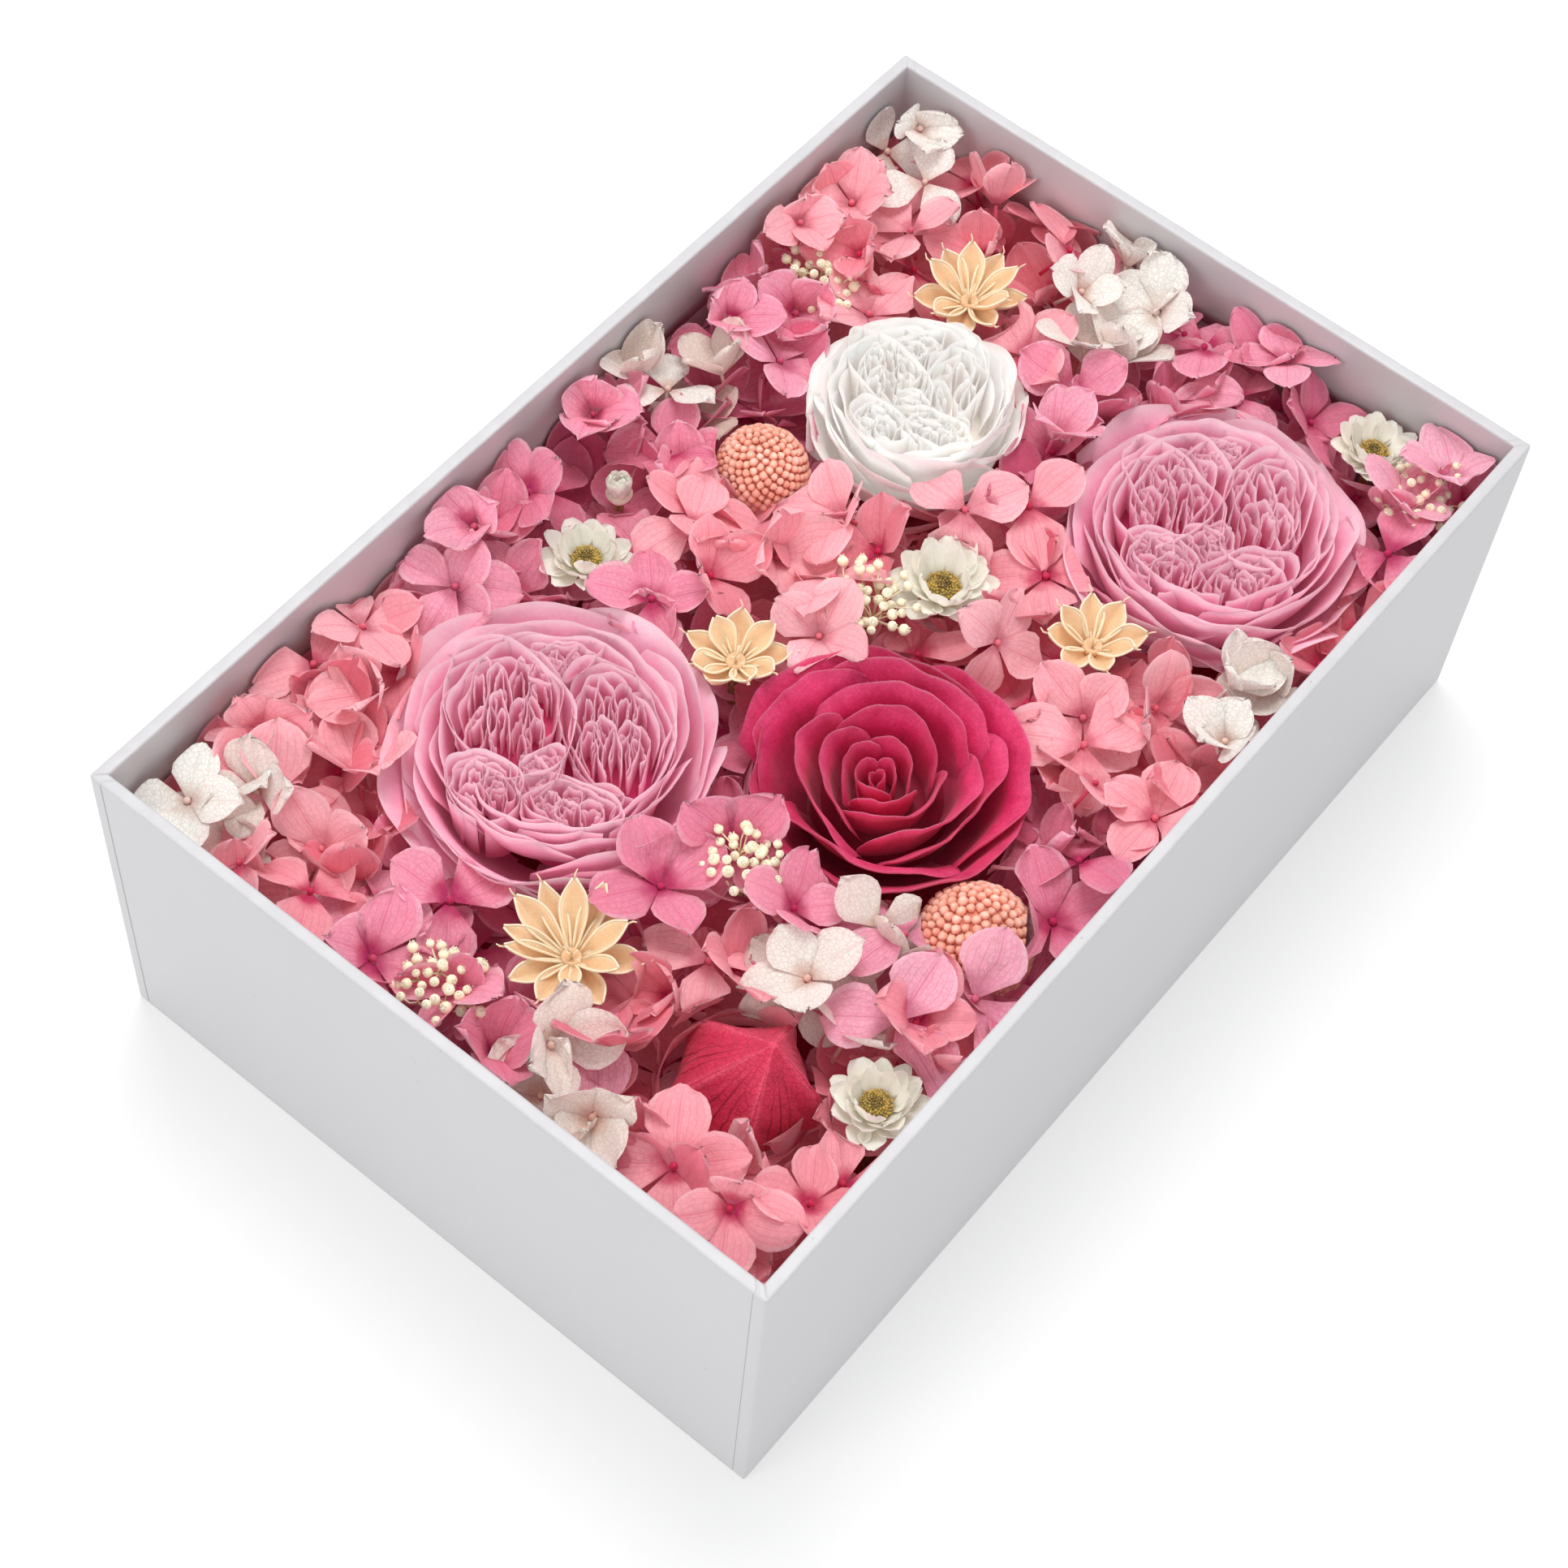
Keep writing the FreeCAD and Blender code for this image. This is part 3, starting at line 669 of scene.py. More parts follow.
def scatter(name, forms, spots, finish_used, base=None, variation=0.08, seed=1, settle=None):
    """One plain mesh with a form on every spot.

    Forms are meshes; a spot is (point, turn, size, kind, shade)."""
    shelf = bpy.data.collections.new(name + "_forms")
    held = []
    for number, mesh in enumerate(forms):
        held.append(bpy.data.objects.new(f"{name}_form_{number:02d}", mesh))
        shelf.objects.link(held[-1])
    places = np.array([s[0] for s in spots], float) * MM
    old = 0
    if base is None:
        data = bpy.data.meshes.new(name)
        data.from_pydata(places.tolist(), [], [])
    else:
        data = base
        old = len(data.vertices)
        data.vertices.add(len(places))
        flat = np.zeros(len(data.vertices) * 3, np.float32)
        data.vertices.foreach_get("co", flat)
        flat[old * 3:] = places.ravel()
        data.vertices.foreach_set("co", flat)
    rows = (("spot", "BOOLEAN", [0] * old + [1] * len(spots), "value"),
            ("kind", "INT", [0] * old + [s[3] for s in spots], "value"),
            ("size", "FLOAT", [1.0] * old + [s[2] for s in spots], "value"),
            ("shade", "FLOAT", [0.0] * old + [s[4] for s in spots], "value"),
            ("turn", "FLOAT_VECTOR", [0.0] * 3 * old + [a for s in spots for a in s[1]], "vector"))
    for key, kind, values, field in rows:
        data.attributes.new(key, kind, "POINT").data.foreach_set(field, values)
    holder = bpy.data.objects.new(name + "_spots", data)
    bpy.context.scene.collection.objects.link(holder)
    modifier = holder.modifiers.new("Scatter", "NODES")
    modifier.node_group = scatter_tree()
    named = {s.name: s.identifier for s in modifier.node_group.interface.items_tree
             if s.item_type == "SOCKET" and s.in_out == "INPUT"}
    for key, value in (("Forms", shelf), ("Size", 1.0), ("Size Variation", variation), ("Seed", seed),
                       ("Finish", finish_used)):
        modifier[named[key]] = value
    graph = bpy.context.evaluated_depsgraph_get()
    made = bpy.data.meshes.new_from_object(
        holder.evaluated_get(graph), preserve_all_data_layers=True, depsgraph=graph)
    made.name = name
    holder.modifiers.remove(modifier)
    for spare in [holder, *held]:
        bpy.data.objects.remove(spare)
    bpy.data.collections.remove(shelf)
    if settle is not None:
        flat = np.zeros(len(made.vertices) * 3, np.float32)
        made.vertices.foreach_get("co", flat)
        made.vertices.foreach_set("co", (settle(flat.reshape(-1, 3) / MM) * MM).astype(np.float32).ravel())
        made.update()
    return made


def turned_to(normal, spin):
    """Euler angles that stand a form upright along a direction, spun about it."""
    upright = Vector(normal).to_track_quat("Z", "Y").to_matrix()
    return tuple((upright @ Matrix.Rotation(spin, 3, "Z")).to_euler())


# ------------------------------------------------------------------------------------ roses

def rose_petal(form, rng, centre, angle, spread, rim, low, high, lip=1.0, foot=0.35, bow=2.0, drop=0.3,
               tuck=0.0, wave=0.2, waves=3.0, point=0.0, shade=0.0, lean=(0.0, 0.0), rows=15, cols=25):
    """One cupped petal: its foot near the axis, its rim rolled out, one side lying over its neighbour."""
    s = np.linspace(-1, 1, cols)[None, :]
    t = np.linspace(0, 1, rows)[:, None]
    crest = high - drop * (high - low) * np.abs(s) ** 4 + point * np.maximum(1 - 2.5 * np.abs(s), 0)
    crest = crest + 0.35 * wave * ripple(rng, s, waves * 1.6)
    roll = smooth(0.68, 1.0, t) ** 1.3 * (0.75 + 0.35 * ripple(rng, s, 1.3))
    radius = rim * (foot + (1 - foot) * (1 - (1 - t) ** bow))
    radius = radius + tuck * s * t + lip * roll + wave * t ** 2 * ripple(rng, s, waves)
    radius = radius + 0.09 * t ** 3 * ripple(rng, s, 7.0) * min(1.0, wave * 2)
    theta = angle + spread * s * (1 - 0.1 * t ** 4)
    height = low + (crest - low) * t - 0.45 * lip * roll ** 2
    grid = np.empty((rows, cols, 3))
    grid[..., 0] = centre[0] + lean[0] * t + radius * np.cos(theta)
    grid[..., 1] = centre[1] + lean[1] * t + radius * np.sin(theta)
    grid[..., 2] = height
    form.sheet(grid, shade, sizes().petal_thickness / MM)


def petal_rings(form, rng, centre, low, rings, start=0.0, lean=(0.0, 0.0), **shape):
    """Rings of overlapping petals, from the heart outwards.

    Each is (rim radius, petals, half width, height, lip, wave)."""
    for number, (rim, count, spread, high, lip, wave) in enumerate(rings):
        near = 1 - rim / rings[-1][0]
        for k in range(count):
            angle = start + number * 2.4 + FULL_TURN * k / count + rng.uniform(-0.22, 0.22)
            middle = centre + rng.uniform(-0.05, 0.05, 2) * rim
            rose_petal(form, rng, middle, angle, spread * rng.uniform(0.92, 1.08),
                       rim * rng.uniform(0.97, 1.03),
                       low, high + rng.uniform(-0.5, 0.5), lip=lip, wave=wave, tuck=0.1 * rim,
                       shade=rng.uniform(-0.1, 0.12), lean=(lean[0] * near, lean[1] * near), **shape)


def hot_pink_bloom():
    """An open rose with a tight spiral heart and broad petals whose rims roll outwards."""
    centre, radius, low, high = head("hot_pink_rose")
    rng = np.random.default_rng(21)
    form = Form()
    top = high - 0.6
    # a deep-coloured core under the petals: painted shade filling the depth of the rose
    form.lathe(centre, [(3.0, low + 6), (14.0, low + 10), (12.0, low + 16), (4.0, low + 18)], 32, -0.9)
    rings = [
        (1.3, 2, 2.4, top - 5.6, 0.1, 0.05), (3.2, 3, 1.5, top - 4.6, 0.4, 0.1),
        (6.0, 3, 1.35, top - 3.2, 0.9, 0.2),
        (9.8, 3, 1.35, top - 1.4, 1.7, 0.3), (14.2, 3, 1.3, top - 0.2, 2.5, 0.4),
        (18.6, 4, 1.1, top - 0.6, 3.2, 0.5),
        (22.4, 4, 1.15, top - 2.4, 3.4, 0.6),
    ]
    share = radius / 26.2
    rings = [(r * share, *rest) for r, *rest in rings]
    petal_rings(form, rng, centre, low + 8, rings, start=0.7, lean=(-1.0, -1.8), foot=0.42, bow=2.3, drop=0.3,
                point=0.5, cols=33)
    return form


def fold(form, rng, middle, wide, long, half, turn, low, high, uneven):
    """A crumpled petal standing on edge: part of an oval in plan, bent round on itself."""
    rows, cols = 9, 41
    q = np.linspace(-1, 1, cols)[None, :]
    t = np.linspace(0, 1, rows)[:, None]
    crumple = uneven * ripple(rng, q, 3.4) * t ** 0.7 + 0.13 * ripple(rng, q, 9.0) * t ** 2
    flare = 0.8 + 0.22 * t
    twist = rng.uniform(-0.3, 0.3)
    across = np.sin(q * half + turn + twist) * (wide + crumple) * flare
    along = np.cos(q * half + turn - twist) * (long + crumple) * flare
    crest = high + 0.45 * ripple(rng, q, 2.6) - 1.4 * np.abs(q) ** 6 + rng.uniform(-0.7, 0.3)
    grid = np.empty((rows, cols, 3))
    for axis in (0, 1):
        grid[..., axis] = middle[axis] + RIGHT[axis] * across + AWAY[axis] * along
    grid[..., 2] = low + (crest - low) * t
    form.sheet(grid, rng.uniform(-0.24, 0.2), 0.26)


def quarter(form, rng, middle, wide, long, low, high):
    """A quarter of a full-petalled rose: oval petals round a row of narrow folds, set closely."""
    for number, share in enumerate((1.0, 0.87, 0.74)):
        half = 3.05 if number == 0 else rng.uniform(1.9, 2.7)
        fold(form, rng, middle, wide * share, long * share, half, rng.uniform(-0.6, 0.6), low,
             high - number * 0.4,
             0.05 * wide + 0.3)
    count = max(2, int(wide * 1.25 / 3.0))
    for k in range(count):
        aside = ((k + 0.5) / count * 2 - 1) * 0.6
        reach = long * 0.76 * math.sqrt(1 - aside ** 2)
        for step in (0.36, -0.4):
            spot = middle + RIGHT * (aside * wide + rng.uniform(-0.5, 0.5))
            spot = spot + AWAY * (step + rng.uniform(-0.1, 0.1)) * reach
            crest = high - 0.4 - rng.uniform(0.0, 1.4)
            turn = rng.uniform(-0.9, 0.9)
            for slim in (1.0, 0.52):
                fold(form, rng, spot, slim * rng.uniform(1.7, 2.4), slim * reach * rng.uniform(0.5, 0.68),
                     rng.uniform(2.1, 2.8), turn, low, crest - 0.5 * (slim < 1), 0.35)


def garden_bloom(node, quarters, seed, share):
    """A full quartered rose: guard petals, a cup of thin petals, and the quarters inside it.

    A quarter is (right, away, wide, long)."""
    centre, radius, low, high = head(node)
    rng = np.random.default_rng(seed)
    form = Form()
    top = high - 1.0
    for right, away, wide, long in quarters:
        middle = centre + right * RIGHT + away * AWAY
        quarter(form, rng, middle, wide, long, low + 14, top - 0.3)
    # a deep-coloured bowl under the quarters: painted shade filling the depth of the rose
    bowl = [(3.0, low + 6), (10 * share, low + 9), (19 * share, top - 10), (12 * share, top - 9),
            (4 * share, top - 9)]
    form.lathe(centre, bowl, 32, -1.3)
    cup = []
    for k in range(3):
        cup.append((20.4 * share + 1.2 * share * k, 4, rng.uniform(0.8, 1.05), top - 0.1 - 0.4 * k, 0.8, 0.6))
    petal_rings(form, rng, centre, low + 8, cup, start=rng.uniform(0, 3), foot=0.62, bow=1.7, drop=0.12,
                waves=2.2, cols=31)
    guards = [(radius - 4.8, 4, 1.0, top - 1.2, 2.4, 0.5), (radius - 3.0, 4, 1.05, top - 3.2, 2.8, 0.6),
              (radius - 2.4, 5, 0.85, top - 6.5, 2.8, 0.7)]
    petal_rings(form, rng, centre, low + 4, guards, start=rng.uniform(0, 3), foot=0.5, bow=2.1, drop=0.22,
                waves=1.8, cols=31)
    return form


# ------------------------------------------------------------------------------------ hydrangea

def sepal(form, rng, heading, length, width, rise, cup, curl, shade, foot=0.7):
    """A broad sepal on a narrow claw, cupped and slightly wavy, with a blunt tip."""
    rows, cols = 9, 8
    u = np.linspace(-1, 1, cols)[None, :]
    v = np.sin(np.linspace(0, math.pi / 2, rows))[:, None]
    claw = smooth(-0.12, 0.52, v)
    half = width / 2 * (0.04 + claw * np.sqrt(1 - 0.985 * v ** 3.4))
    bend = rise + curl * v
    lift = cup * (u ** 2) * half * 0.32 + 0.5 * v * ripple(rng, u,
                                                           2.0) * (0.3 + v) - 0.25 * (1 - np.abs(u)) * v
    side = u * half
    step = np.diff(v, axis=0, prepend=0.0) * length
    forward = foot + np.cumsum(step * np.cos(bend), axis=0) - 0.6 * u ** 2 * v ** 3
    up = np.cumsum(step * np.sin(bend), axis=0)
    grid = laid_out((0, 0), heading, forward - lift * np.sin(bend), side, up + lift * np.cos(bend))
    form.sheet(grid, shade, 0.16)


def floret_forms(prefix, seed, heart_shade):
    """Hydrangea florets of four sepals round a tiny heart on a short stalk, from flat to half closed."""
    rng = np.random.default_rng(seed)
    length = sizes().sepal_length / MM
    made = []
    for number in range(FLORET_KINDS):
        form = Form()
        open_to = (0.1, 0.4, 0.75, 0.25, 1.05, 0.15, 0.55)[number % 7] + rng.uniform(-0.05, 0.05)
        sepals = 4 if number % 5 else 3
        for k in range(sepals):
            heading = FULL_TURN * k / sepals + rng.uniform(-0.2, 0.2)
            long = length * rng.uniform(0.86, 1.14)
            sepal(form, rng, heading, long, long * rng.uniform(0.8, 0.98), open_to + rng.uniform(-0.15, 0.2),
                  rng.uniform(-0.1, 0.9), rng.uniform(-0.75, 0.35), rng.uniform(-0.08, 0.14))
        heart = [(0.28, -0.3), (0.62, 0.1), (0.68, 0.55), (0.4, 0.95)]
        form.lathe((0, 0), heart, 8, heart_shade)
        bend = rng.uniform(-1.2, 1.2, 2)
        stalk = [(bend[0], bend[1], -7.0), (bend[0] * 0.5, bend[1] * 0.5, -3.5), (0, 0, -0.2)]
        form.tube(stalk, (0.42, 0.36, 0.4), 5, heart_shade)
        made.append(form.mesh(f"{prefix}_{number:02d}"))
    return made


def heads_in_the_way():
    """The other flowers that the hydrangea grows round: middle, radius, and lowest and highest point."""
    return [head(name) for name in HEAD_NAMES]


def clear_of_heads(keep):
    """Pushes florets out of the flower heads that they press against; only roses give a little."""
    def settle(points):
        points = inside_the_walls(points)
        for middle, radius, low, high in keep:
            off = points[:, :2] - middle
            far = np.linalg.norm(off, axis=1)
            broad = radius > BROAD_HEAD
            brim = high - 1.5 if broad else high + 1.0
            below = smooth(low - 3, low + 2, points[:, 2]) * (1 - smooth(brim - 2.5, brim, points[:, 2]))
            wanted = radius * (0.96 if broad else 1.0)
            push = np.where(far < wanted, (wanted - far) * below * 0.9, 0.0)
            points[:, :2] += off / np.maximum(far, 0.5)[:, None] * push[:, None]
        return points
    return settle


DEEPER_PATCHES = (  # where the bed's colour is deeper: x, y, radius
    (58.0, -30.0, 34.0), (30.0, -88.0, 30.0), (-8.0, -84.0, 24.0), (8.0, 40.0, 20.0), (-60.0, 30.0, 22.0),
)


def bed_spots(seed):
    """Where the florets of the bed stand, layer by layer: (x, y, z, shade)."""
    rng = np.random.default_rng(seed)
    spacing = sizes().floret_spacing / MM
    reach = np.array(CAD_BOX[1])[:2] / MM - 7.5
    keep = heads_in_the_way()
    layers = [  # lowest and highest floret, spacing, how near a head it may stand, shade; the lower layers' deeper shade is painted shade in the depth of the bed
        (64.0, 68.5, 1.0, 4.4, 0.06), (59.0, 63.0, 1.0, 2.2, -0.18), (BED_LOW + 3, 56.5, 0.86, -5.5, -0.42),
        (BED_LOW - 2, BED_LOW + 1, 0.9, -7.0, -0.3),
    ]
    spots = []
    for low, high, apart, room, shade in layers:
        taken = []
        clearing = 1.6 if low > 60 else 0.0       # room that the top layer leaves round small flowers
        for _ in range(5200):
            wider = reach + (3.0 if low < 60 else 0.0)
            x, y = rng.uniform(-wider[0], wider[0]), rng.uniform(-wider[1], wider[1])
            if any(math.hypot(x - m[0], y - m[1]) < r + room + (clearing if r < BROAD_HEAD else 0.0)
                   for m, r, foot, _ in keep if foot < high + 4):
                continue
            if any((x - a) ** 2 + (y - b) ** 2 < (spacing * apart) ** 2 for a, b in taken):
                continue
            taken.append((x, y))
            by_wall = smooth(14.0, 2.0, min(reach[0] - abs(x), reach[1] - abs(y)))
            height = rng.uniform(low, high) + 1.8 * by_wall
            mood = 0.3 * max(smooth(r, 0.0, math.hypot(x - a, y - b)) for a, b, r in DEEPER_PATCHES)
            spots.append((x, y, height, shade + rng.uniform(-0.32, 0.26) - mood))
    return spots


WHITE_SPRIGS = tuple(f"white_hydrangea_{k}" for k in range(1, 8))
PINK_SPRIGS = tuple(f"pink_hydrangea_{k}" for k in range(1, 11))
PLACED_FLORETS = (  # florets that lie over a neighbour: x, y, z, leaning towards, by how much, sprig
    (56.5, -55.5, 69.0, -0.9, 0.25, "pink_hydrangea_4"), (17.5, -88.0, 66.5, 0.6, 0.35, "pink_hydrangea_2"),
    (0.5, 36.0, 69.5, -0.6, 0.35, "pink_hydrangea_7"), (47.0, -41.5, 68.0, 2.2, 0.3, "pink_hydrangea_4"),
    (63.5, -43.5, 68.0, -0.6, 0.3, "pink_hydrangea_4"), (-64.0, -83.0, 67.0, -0.8, 0.15, "pink_hydrangea_1"),
    (-53.0, -91.0, 66.5, -0.4, 0.3, "pink_hydrangea_1"), (-59.0, -37.5, 67.5, -0.9, 0.15, "pink_hydrangea_6"),
    (-35.5, 1.0, 68.0, -0.5, 0.2, "pink_hydrangea_7"), (47.5, 9.5, 68.5, -0.8, 0.3, "pink_hydrangea_5"),
)


def hydrangea_spots():
    """Shares the bed's florets out among the sprigs: {sprig: spots}."""
    rng = np.random.default_rng(5)
    shared = {name: [] for name in PINK_SPRIGS + WHITE_SPRIGS}
    pink_middles = {name: head(name)[0] for name in PINK_SPRIGS}
    white = {}
    for name in WHITE_SPRIGS:
        low, high = box_of(name)
        white[name] = ((low + high)[:2] / 2, (high - low)[:2] / 2)
    for x, y, z, shade in bed_spots(9):
        owner = None
        for name, (middle, half) in white.items():
            if z > 58 and np.hypot(*((np.array([x, y]) - middle) / (half + 1.5))) < 1.0:
                owner = name
        if owner is None:
            owner = min(PINK_SPRIGS, key=lambda n: np.hypot(*(pink_middles[n] - (x, y))))
        elif z > 63:
            z += 1.0
        lean = rng.normal(0, 0.46, 2)
        spin = rng.uniform(0, FULL_TURN)
        normal = (lean[0], lean[1], 1.0)
        shared[owner].append(((x, y, z), turned_to(normal, spin), 1.0, int(rng.integers(FLORET_KINDS)),
                              shade))
    for x, y, z, towards, slant, owner in PLACED_FLORETS:
        normal = (slant * math.cos(towards), slant * math.sin(towards), 1.0)
        shared[owner].append(((x, y, z), turned_to(normal, rng.uniform(0, 1.5)), 1.08,
                              int(rng.integers(2)) * 5, 0.12))
    return shared


# ------------------------------------------------------------------------------------ small flowers

def husk_form():
    """The physalis: a papery lantern of five panels, creased along its ribs and drawn to a leaning tip."""
    centre, radius, low, high = head("physalis_husk")
    rng = np.random.default_rng(8)
    form = Form()
    outline = [(0.10, 0.0), (0.42, 0.02), (0.68, 0.07), (0.86, 0.16), (0.97, 0.27), (1.0, 0.37), (0.94, 0.48),
               (0.82, 0.59), (0.66, 0.69), (0.49, 0.78), (0.33, 0.86), (0.19, 0.92), (0.09, 0.97),
               (0.03, 1.0)]
    outline = np.array(outline)
    steps = np.linspace(0, 1, 40)
    place = np.linspace(0, 1, len(outline))
    share = np.interp(steps, place, outline[:, 0])
    climb = np.interp(steps, place, outline[:, 1])
    cols = 120
    angle = np.linspace(0, FULL_TURN, cols, endpoint=False)
    rib = (angle * 5 / FULL_TURN + 0.722) % 1.0           # 0 to 1 across each panel
    from_middle = np.abs(rib * 2 - 1)
    panel = 0.76 + 0.3 * from_middle ** 2.8
    crumple = 0.02 * ripple(rng, np.sin(angle * 2)[None, :] + steps[:, None] * 3, 3.0)
    grid = np.empty((len(steps), cols, 3))
    lean = np.outer(climb ** 1.6, np.array([4.2, 4.6]))
    sharp = 1 + (panel - 1)[None, :] * np.sin(math.pi * np.clip(steps, 0.05, 1))[:, None] ** 0.4
    reach = radius * share[:, None] * (sharp + crumple)
    grid[..., 0] = centre[0] + lean[:, :1] + reach * np.cos(angle)
    grid[..., 1] = centre[1] + lean[:, 1:] + reach * np.sin(angle)
    grid[..., 2] = low + (high - low) * climb[:, None]
    where = np.zeros((len(steps), cols, 3))
    where[..., 0] = rib * 2 - 1
    where[..., 1] = steps[:, None]
    form.solid(grid, place=where)
    return form


def button_bump(rng):
    """One tiny floret of a billy button: a lumpy dome with a flat top."""
    form = Form()
    swell = rng.uniform(0.8, 1.1, 7)
    angle = np.linspace(0, FULL_TURN, 7, endpoint=False)
    grid = np.empty((4, 7, 3))
    for row, (reach, height) in enumerate(((0.62, -0.5), (0.72, 0.1), (0.52, 0.52), (0.2, 0.55))):
        grid[row, :, 0] = reach * swell * np.cos(angle)
        grid[row, :, 1] = reach * swell * np.sin(angle)
        grid[row, :, 2] = height
    where = np.zeros((4, 7, 3))
    where[..., 1] = np.array([0.0, 0.35, 0.8, 1.0])[:, None]
    form.solid(grid, place=where)
    return form


def button_mesh(node, material, seed):
    """A billy button: a ball closely set with tiny florets."""
    low, high = box_of(node)
    middle = (low + high) / 2
    radius = float((high - low).min()) / 2
    rng = np.random.default_rng(seed)
    core = Form()
    turn = np.linspace(-math.pi / 2 + 0.12, math.pi / 2 - 0.12, 14)
    inner = radius - 1.05
    core.lathe(middle[:2], np.stack([inner * np.cos(turn), middle[2] + inner * np.sin(turn)], axis=1), 28,
               -0.8)
    bumps = [button_bump(rng).mesh(f"{node}_bump_{k}") for k in range(5)]
    count = sizes().button_bumps
    spots = []
    for k in range(count):
        rise = 1 - 2 * (k + 0.5) / count
        angle = k * GOLDEN_ANGLE
        flat = math.sqrt(1 - rise * rise)
        normal = np.array([flat * math.cos(angle), flat * math.sin(angle), rise])
        spot = middle + normal * (radius - 0.72 + rng.uniform(-0.12, 0.1))
        size = radius / 10.6 * 1.34 * math.sqrt(430 / count)
        spots.append((spot, turned_to(normal, rng.uniform(0, FULL_TURN)), size, int(rng.integers(5)),
                      rng.uniform(-0.25, 0.2)))
    return scatter(node + "_head", bumps, spots, material, core.mesh(node + "_core"), 0.12, seed)


def carpel(form, rng, centre, angle, length, width, low, rise, split):
    """One boat-shaped seed case: a folded leaf with thick pale rims and a hooked tip."""
    rows, cols = 15, 9
    u = np.linspace(-1, 1, cols)[None, :]
    v = np.linspace(0, 1, rows)[:, None]
    half = width / 2 * (0.16 + 0.9 * np.sin(math.pi * np.clip(v * 0.9 + 0.02, 0, 1) ** 1.25) ** 0.85)
    half = half * (1 - 0.75 * v ** 7)
    keel = -(1 - np.abs(u) ** 1.3) * (0.5 + 2.0 * np.sin(math.pi * v ** 0.9) ** 0.8) * width / 4.6
    twist = rng.uniform(-0.35, 0.35) * v
    side = u * half * (1 + split * 0.15 * v)
    bow = 1.3 * np.sin(math.pi * v) + 1.1 * v ** 6 + rng.uniform(-0.4, 0.4) * v
    forward = 1.0 + length * v * math.cos(rise)
    upward = length * v * math.sin(rise) + bow + keel * np.cos(twist) + side * np.sin(twist)
    side = side * np.cos(twist) - keel * np.sin(twist)
    side = side + rng.uniform(-0.5, 0.5) * v ** 2
    grid = laid_out(centre, angle, forward, side, low + upward)
    form.sheet(grid, rng.uniform(-0.08, 0.08), 0.42)
    for edge in (0, -1):        # the thick pale rims
        form.tube(grid[1:, edge], np.linspace(0.26, 0.2, rows - 1), 6, 0.85)
    if rng.uniform() < 0.75:    # a frayed point
        tip = grid[-1, cols // 2]
        out = np.array([math.cos(angle), math.sin(angle)])
        bend = rng.uniform(-0.7, 0.7)
        end = [out[0] * 1.4 - out[1] * bend, out[1] * 1.4 + out[0] * bend, 1.3]
        hook = [tip, tip + [*(out * 0.9), 0.5], tip + end]
        form.tube(hook, (0.24, 0.18, 0.1), 5, 0.5)


def pod_form(node, carpels, seed):
    """A dried star-shaped seed head: opened cases round a narrow throat, on a short cone."""
    centre, radius, low, _ = head(node)
    rng = np.random.default_rng(seed)
    form = Form()
    cone = [(0.7, low - 1.5), (1.2, low), (2.0, low + 2.2), (1.5, low + 3.0), (0.6, low + 2.0)]
    form.lathe(centre, cone, 16, -0.35)
    width = 5.0 if carpels < 12 else 4.3
    for k in range(carpels):
        angle = FULL_TURN * (k + rng.uniform(-0.12, 0.12)) / carpels
        rise = math.radians(rng.uniform(14, 34) if k % 2 else rng.uniform(24, 46))
        carpel(form, rng, centre, angle, radius * rng.uniform(0.88, 1.0), width * rng.uniform(0.85, 1.1),
               low + 1.6, rise, rng.uniform(-1, 1))
    for k in range(carpels // 2):   # the dried styles in the throat
        angle = rng.uniform(0, FULL_TURN)
        foot = np.array([centre[0], centre[1], low + 2.0])
        out = np.array([math.cos(angle), math.sin(angle), 0]) * rng.uniform(0.6, 1.6)
        form.tube([foot, foot + out * 0.4 + [0, 0, 2.0], foot + out + [0, 0, rng.uniform(3.0, 4.6)]],
                  (0.25, 0.2, 0.12), 5, 0.6)
    return form


def daisy_petal(form, rng, centre, angle, start, length, width, low, rise, curl, shade):
    """A papery petal, widest past its middle, hollowed along its length."""
    rows, cols = 11, 8
    u = np.linspace(-1, 1, cols)[None, :]
    v = np.linspace(0, 1, rows)
    half = width / 2 * (0.3 + 0.75 * np.sin(math.pi * v ** 1.35 * 0.93) ** 0.9) * (1 - 0.3 * v ** 9)
    half = half[:, None]
    bend = rise + curl * v
    step = length / (rows - 1)
    along = (start + np.concatenate([[0], np.cumsum(np.cos(bend[1:]))]) * step)[:, None]
    up = np.concatenate([[0], np.cumsum(np.sin(bend[1:]))])[:, None] * step
    hollow = u ** 2 * half * 0.42 + 0.14 * v[:, None] * ripple(rng, u, 3.0)
    side = u * half + rng.uniform(-0.5, 0.5) * v[:, None] ** 2
    forward = along - hollow * np.sin(bend)[:, None]
    grid = laid_out(centre, angle, forward, side, low + up + hollow * np.cos(bend)[:, None])
    form.sheet(grid, shade, 0.14)


def daisy_form(node, seed, closed=False):
    """The papery petals of one daisy, in two loose rings that cup its disc."""
    centre, radius, low, _ = head(node)
    rng = np.random.default_rng(seed)
    form = Form()
    form.lathe(centre, [(0.7, low - 1.0), (1.8, low + 0.4), (2.6, low + 2.0), (1.6, low + 2.6)], 14, -0.5)
    size = radius / 9.0
    rings = ((12, 0.15, 0.5, 0.1), (11, 0.4, 0.75, 0.6), (7, 0.7, 0.8, 0.8)) if not closed else \
        ((7, 1.0, 0.75, 0.5), (7, 1.2, 0.5, 0.9), (5, 1.35, 0.4, 1.0))
    for count, rise, curl, inner in rings:
        for k in range(count):
            angle = FULL_TURN * (k + inner + rng.uniform(-0.2, 0.2)) / count
            daisy_petal(form, rng, centre, angle, 2.6 * size,
                        (7.4 - inner * 1.4) * size * rng.uniform(0.88, 1.1),
                        4.4 * size * rng.uniform(0.85, 1.1), low + 1.5 + inner,
                        rise + rng.uniform(-0.12, 0.2),
                        curl + rng.uniform(-0.25, 0.3), rng.uniform(-0.12, 0.2))
    return form


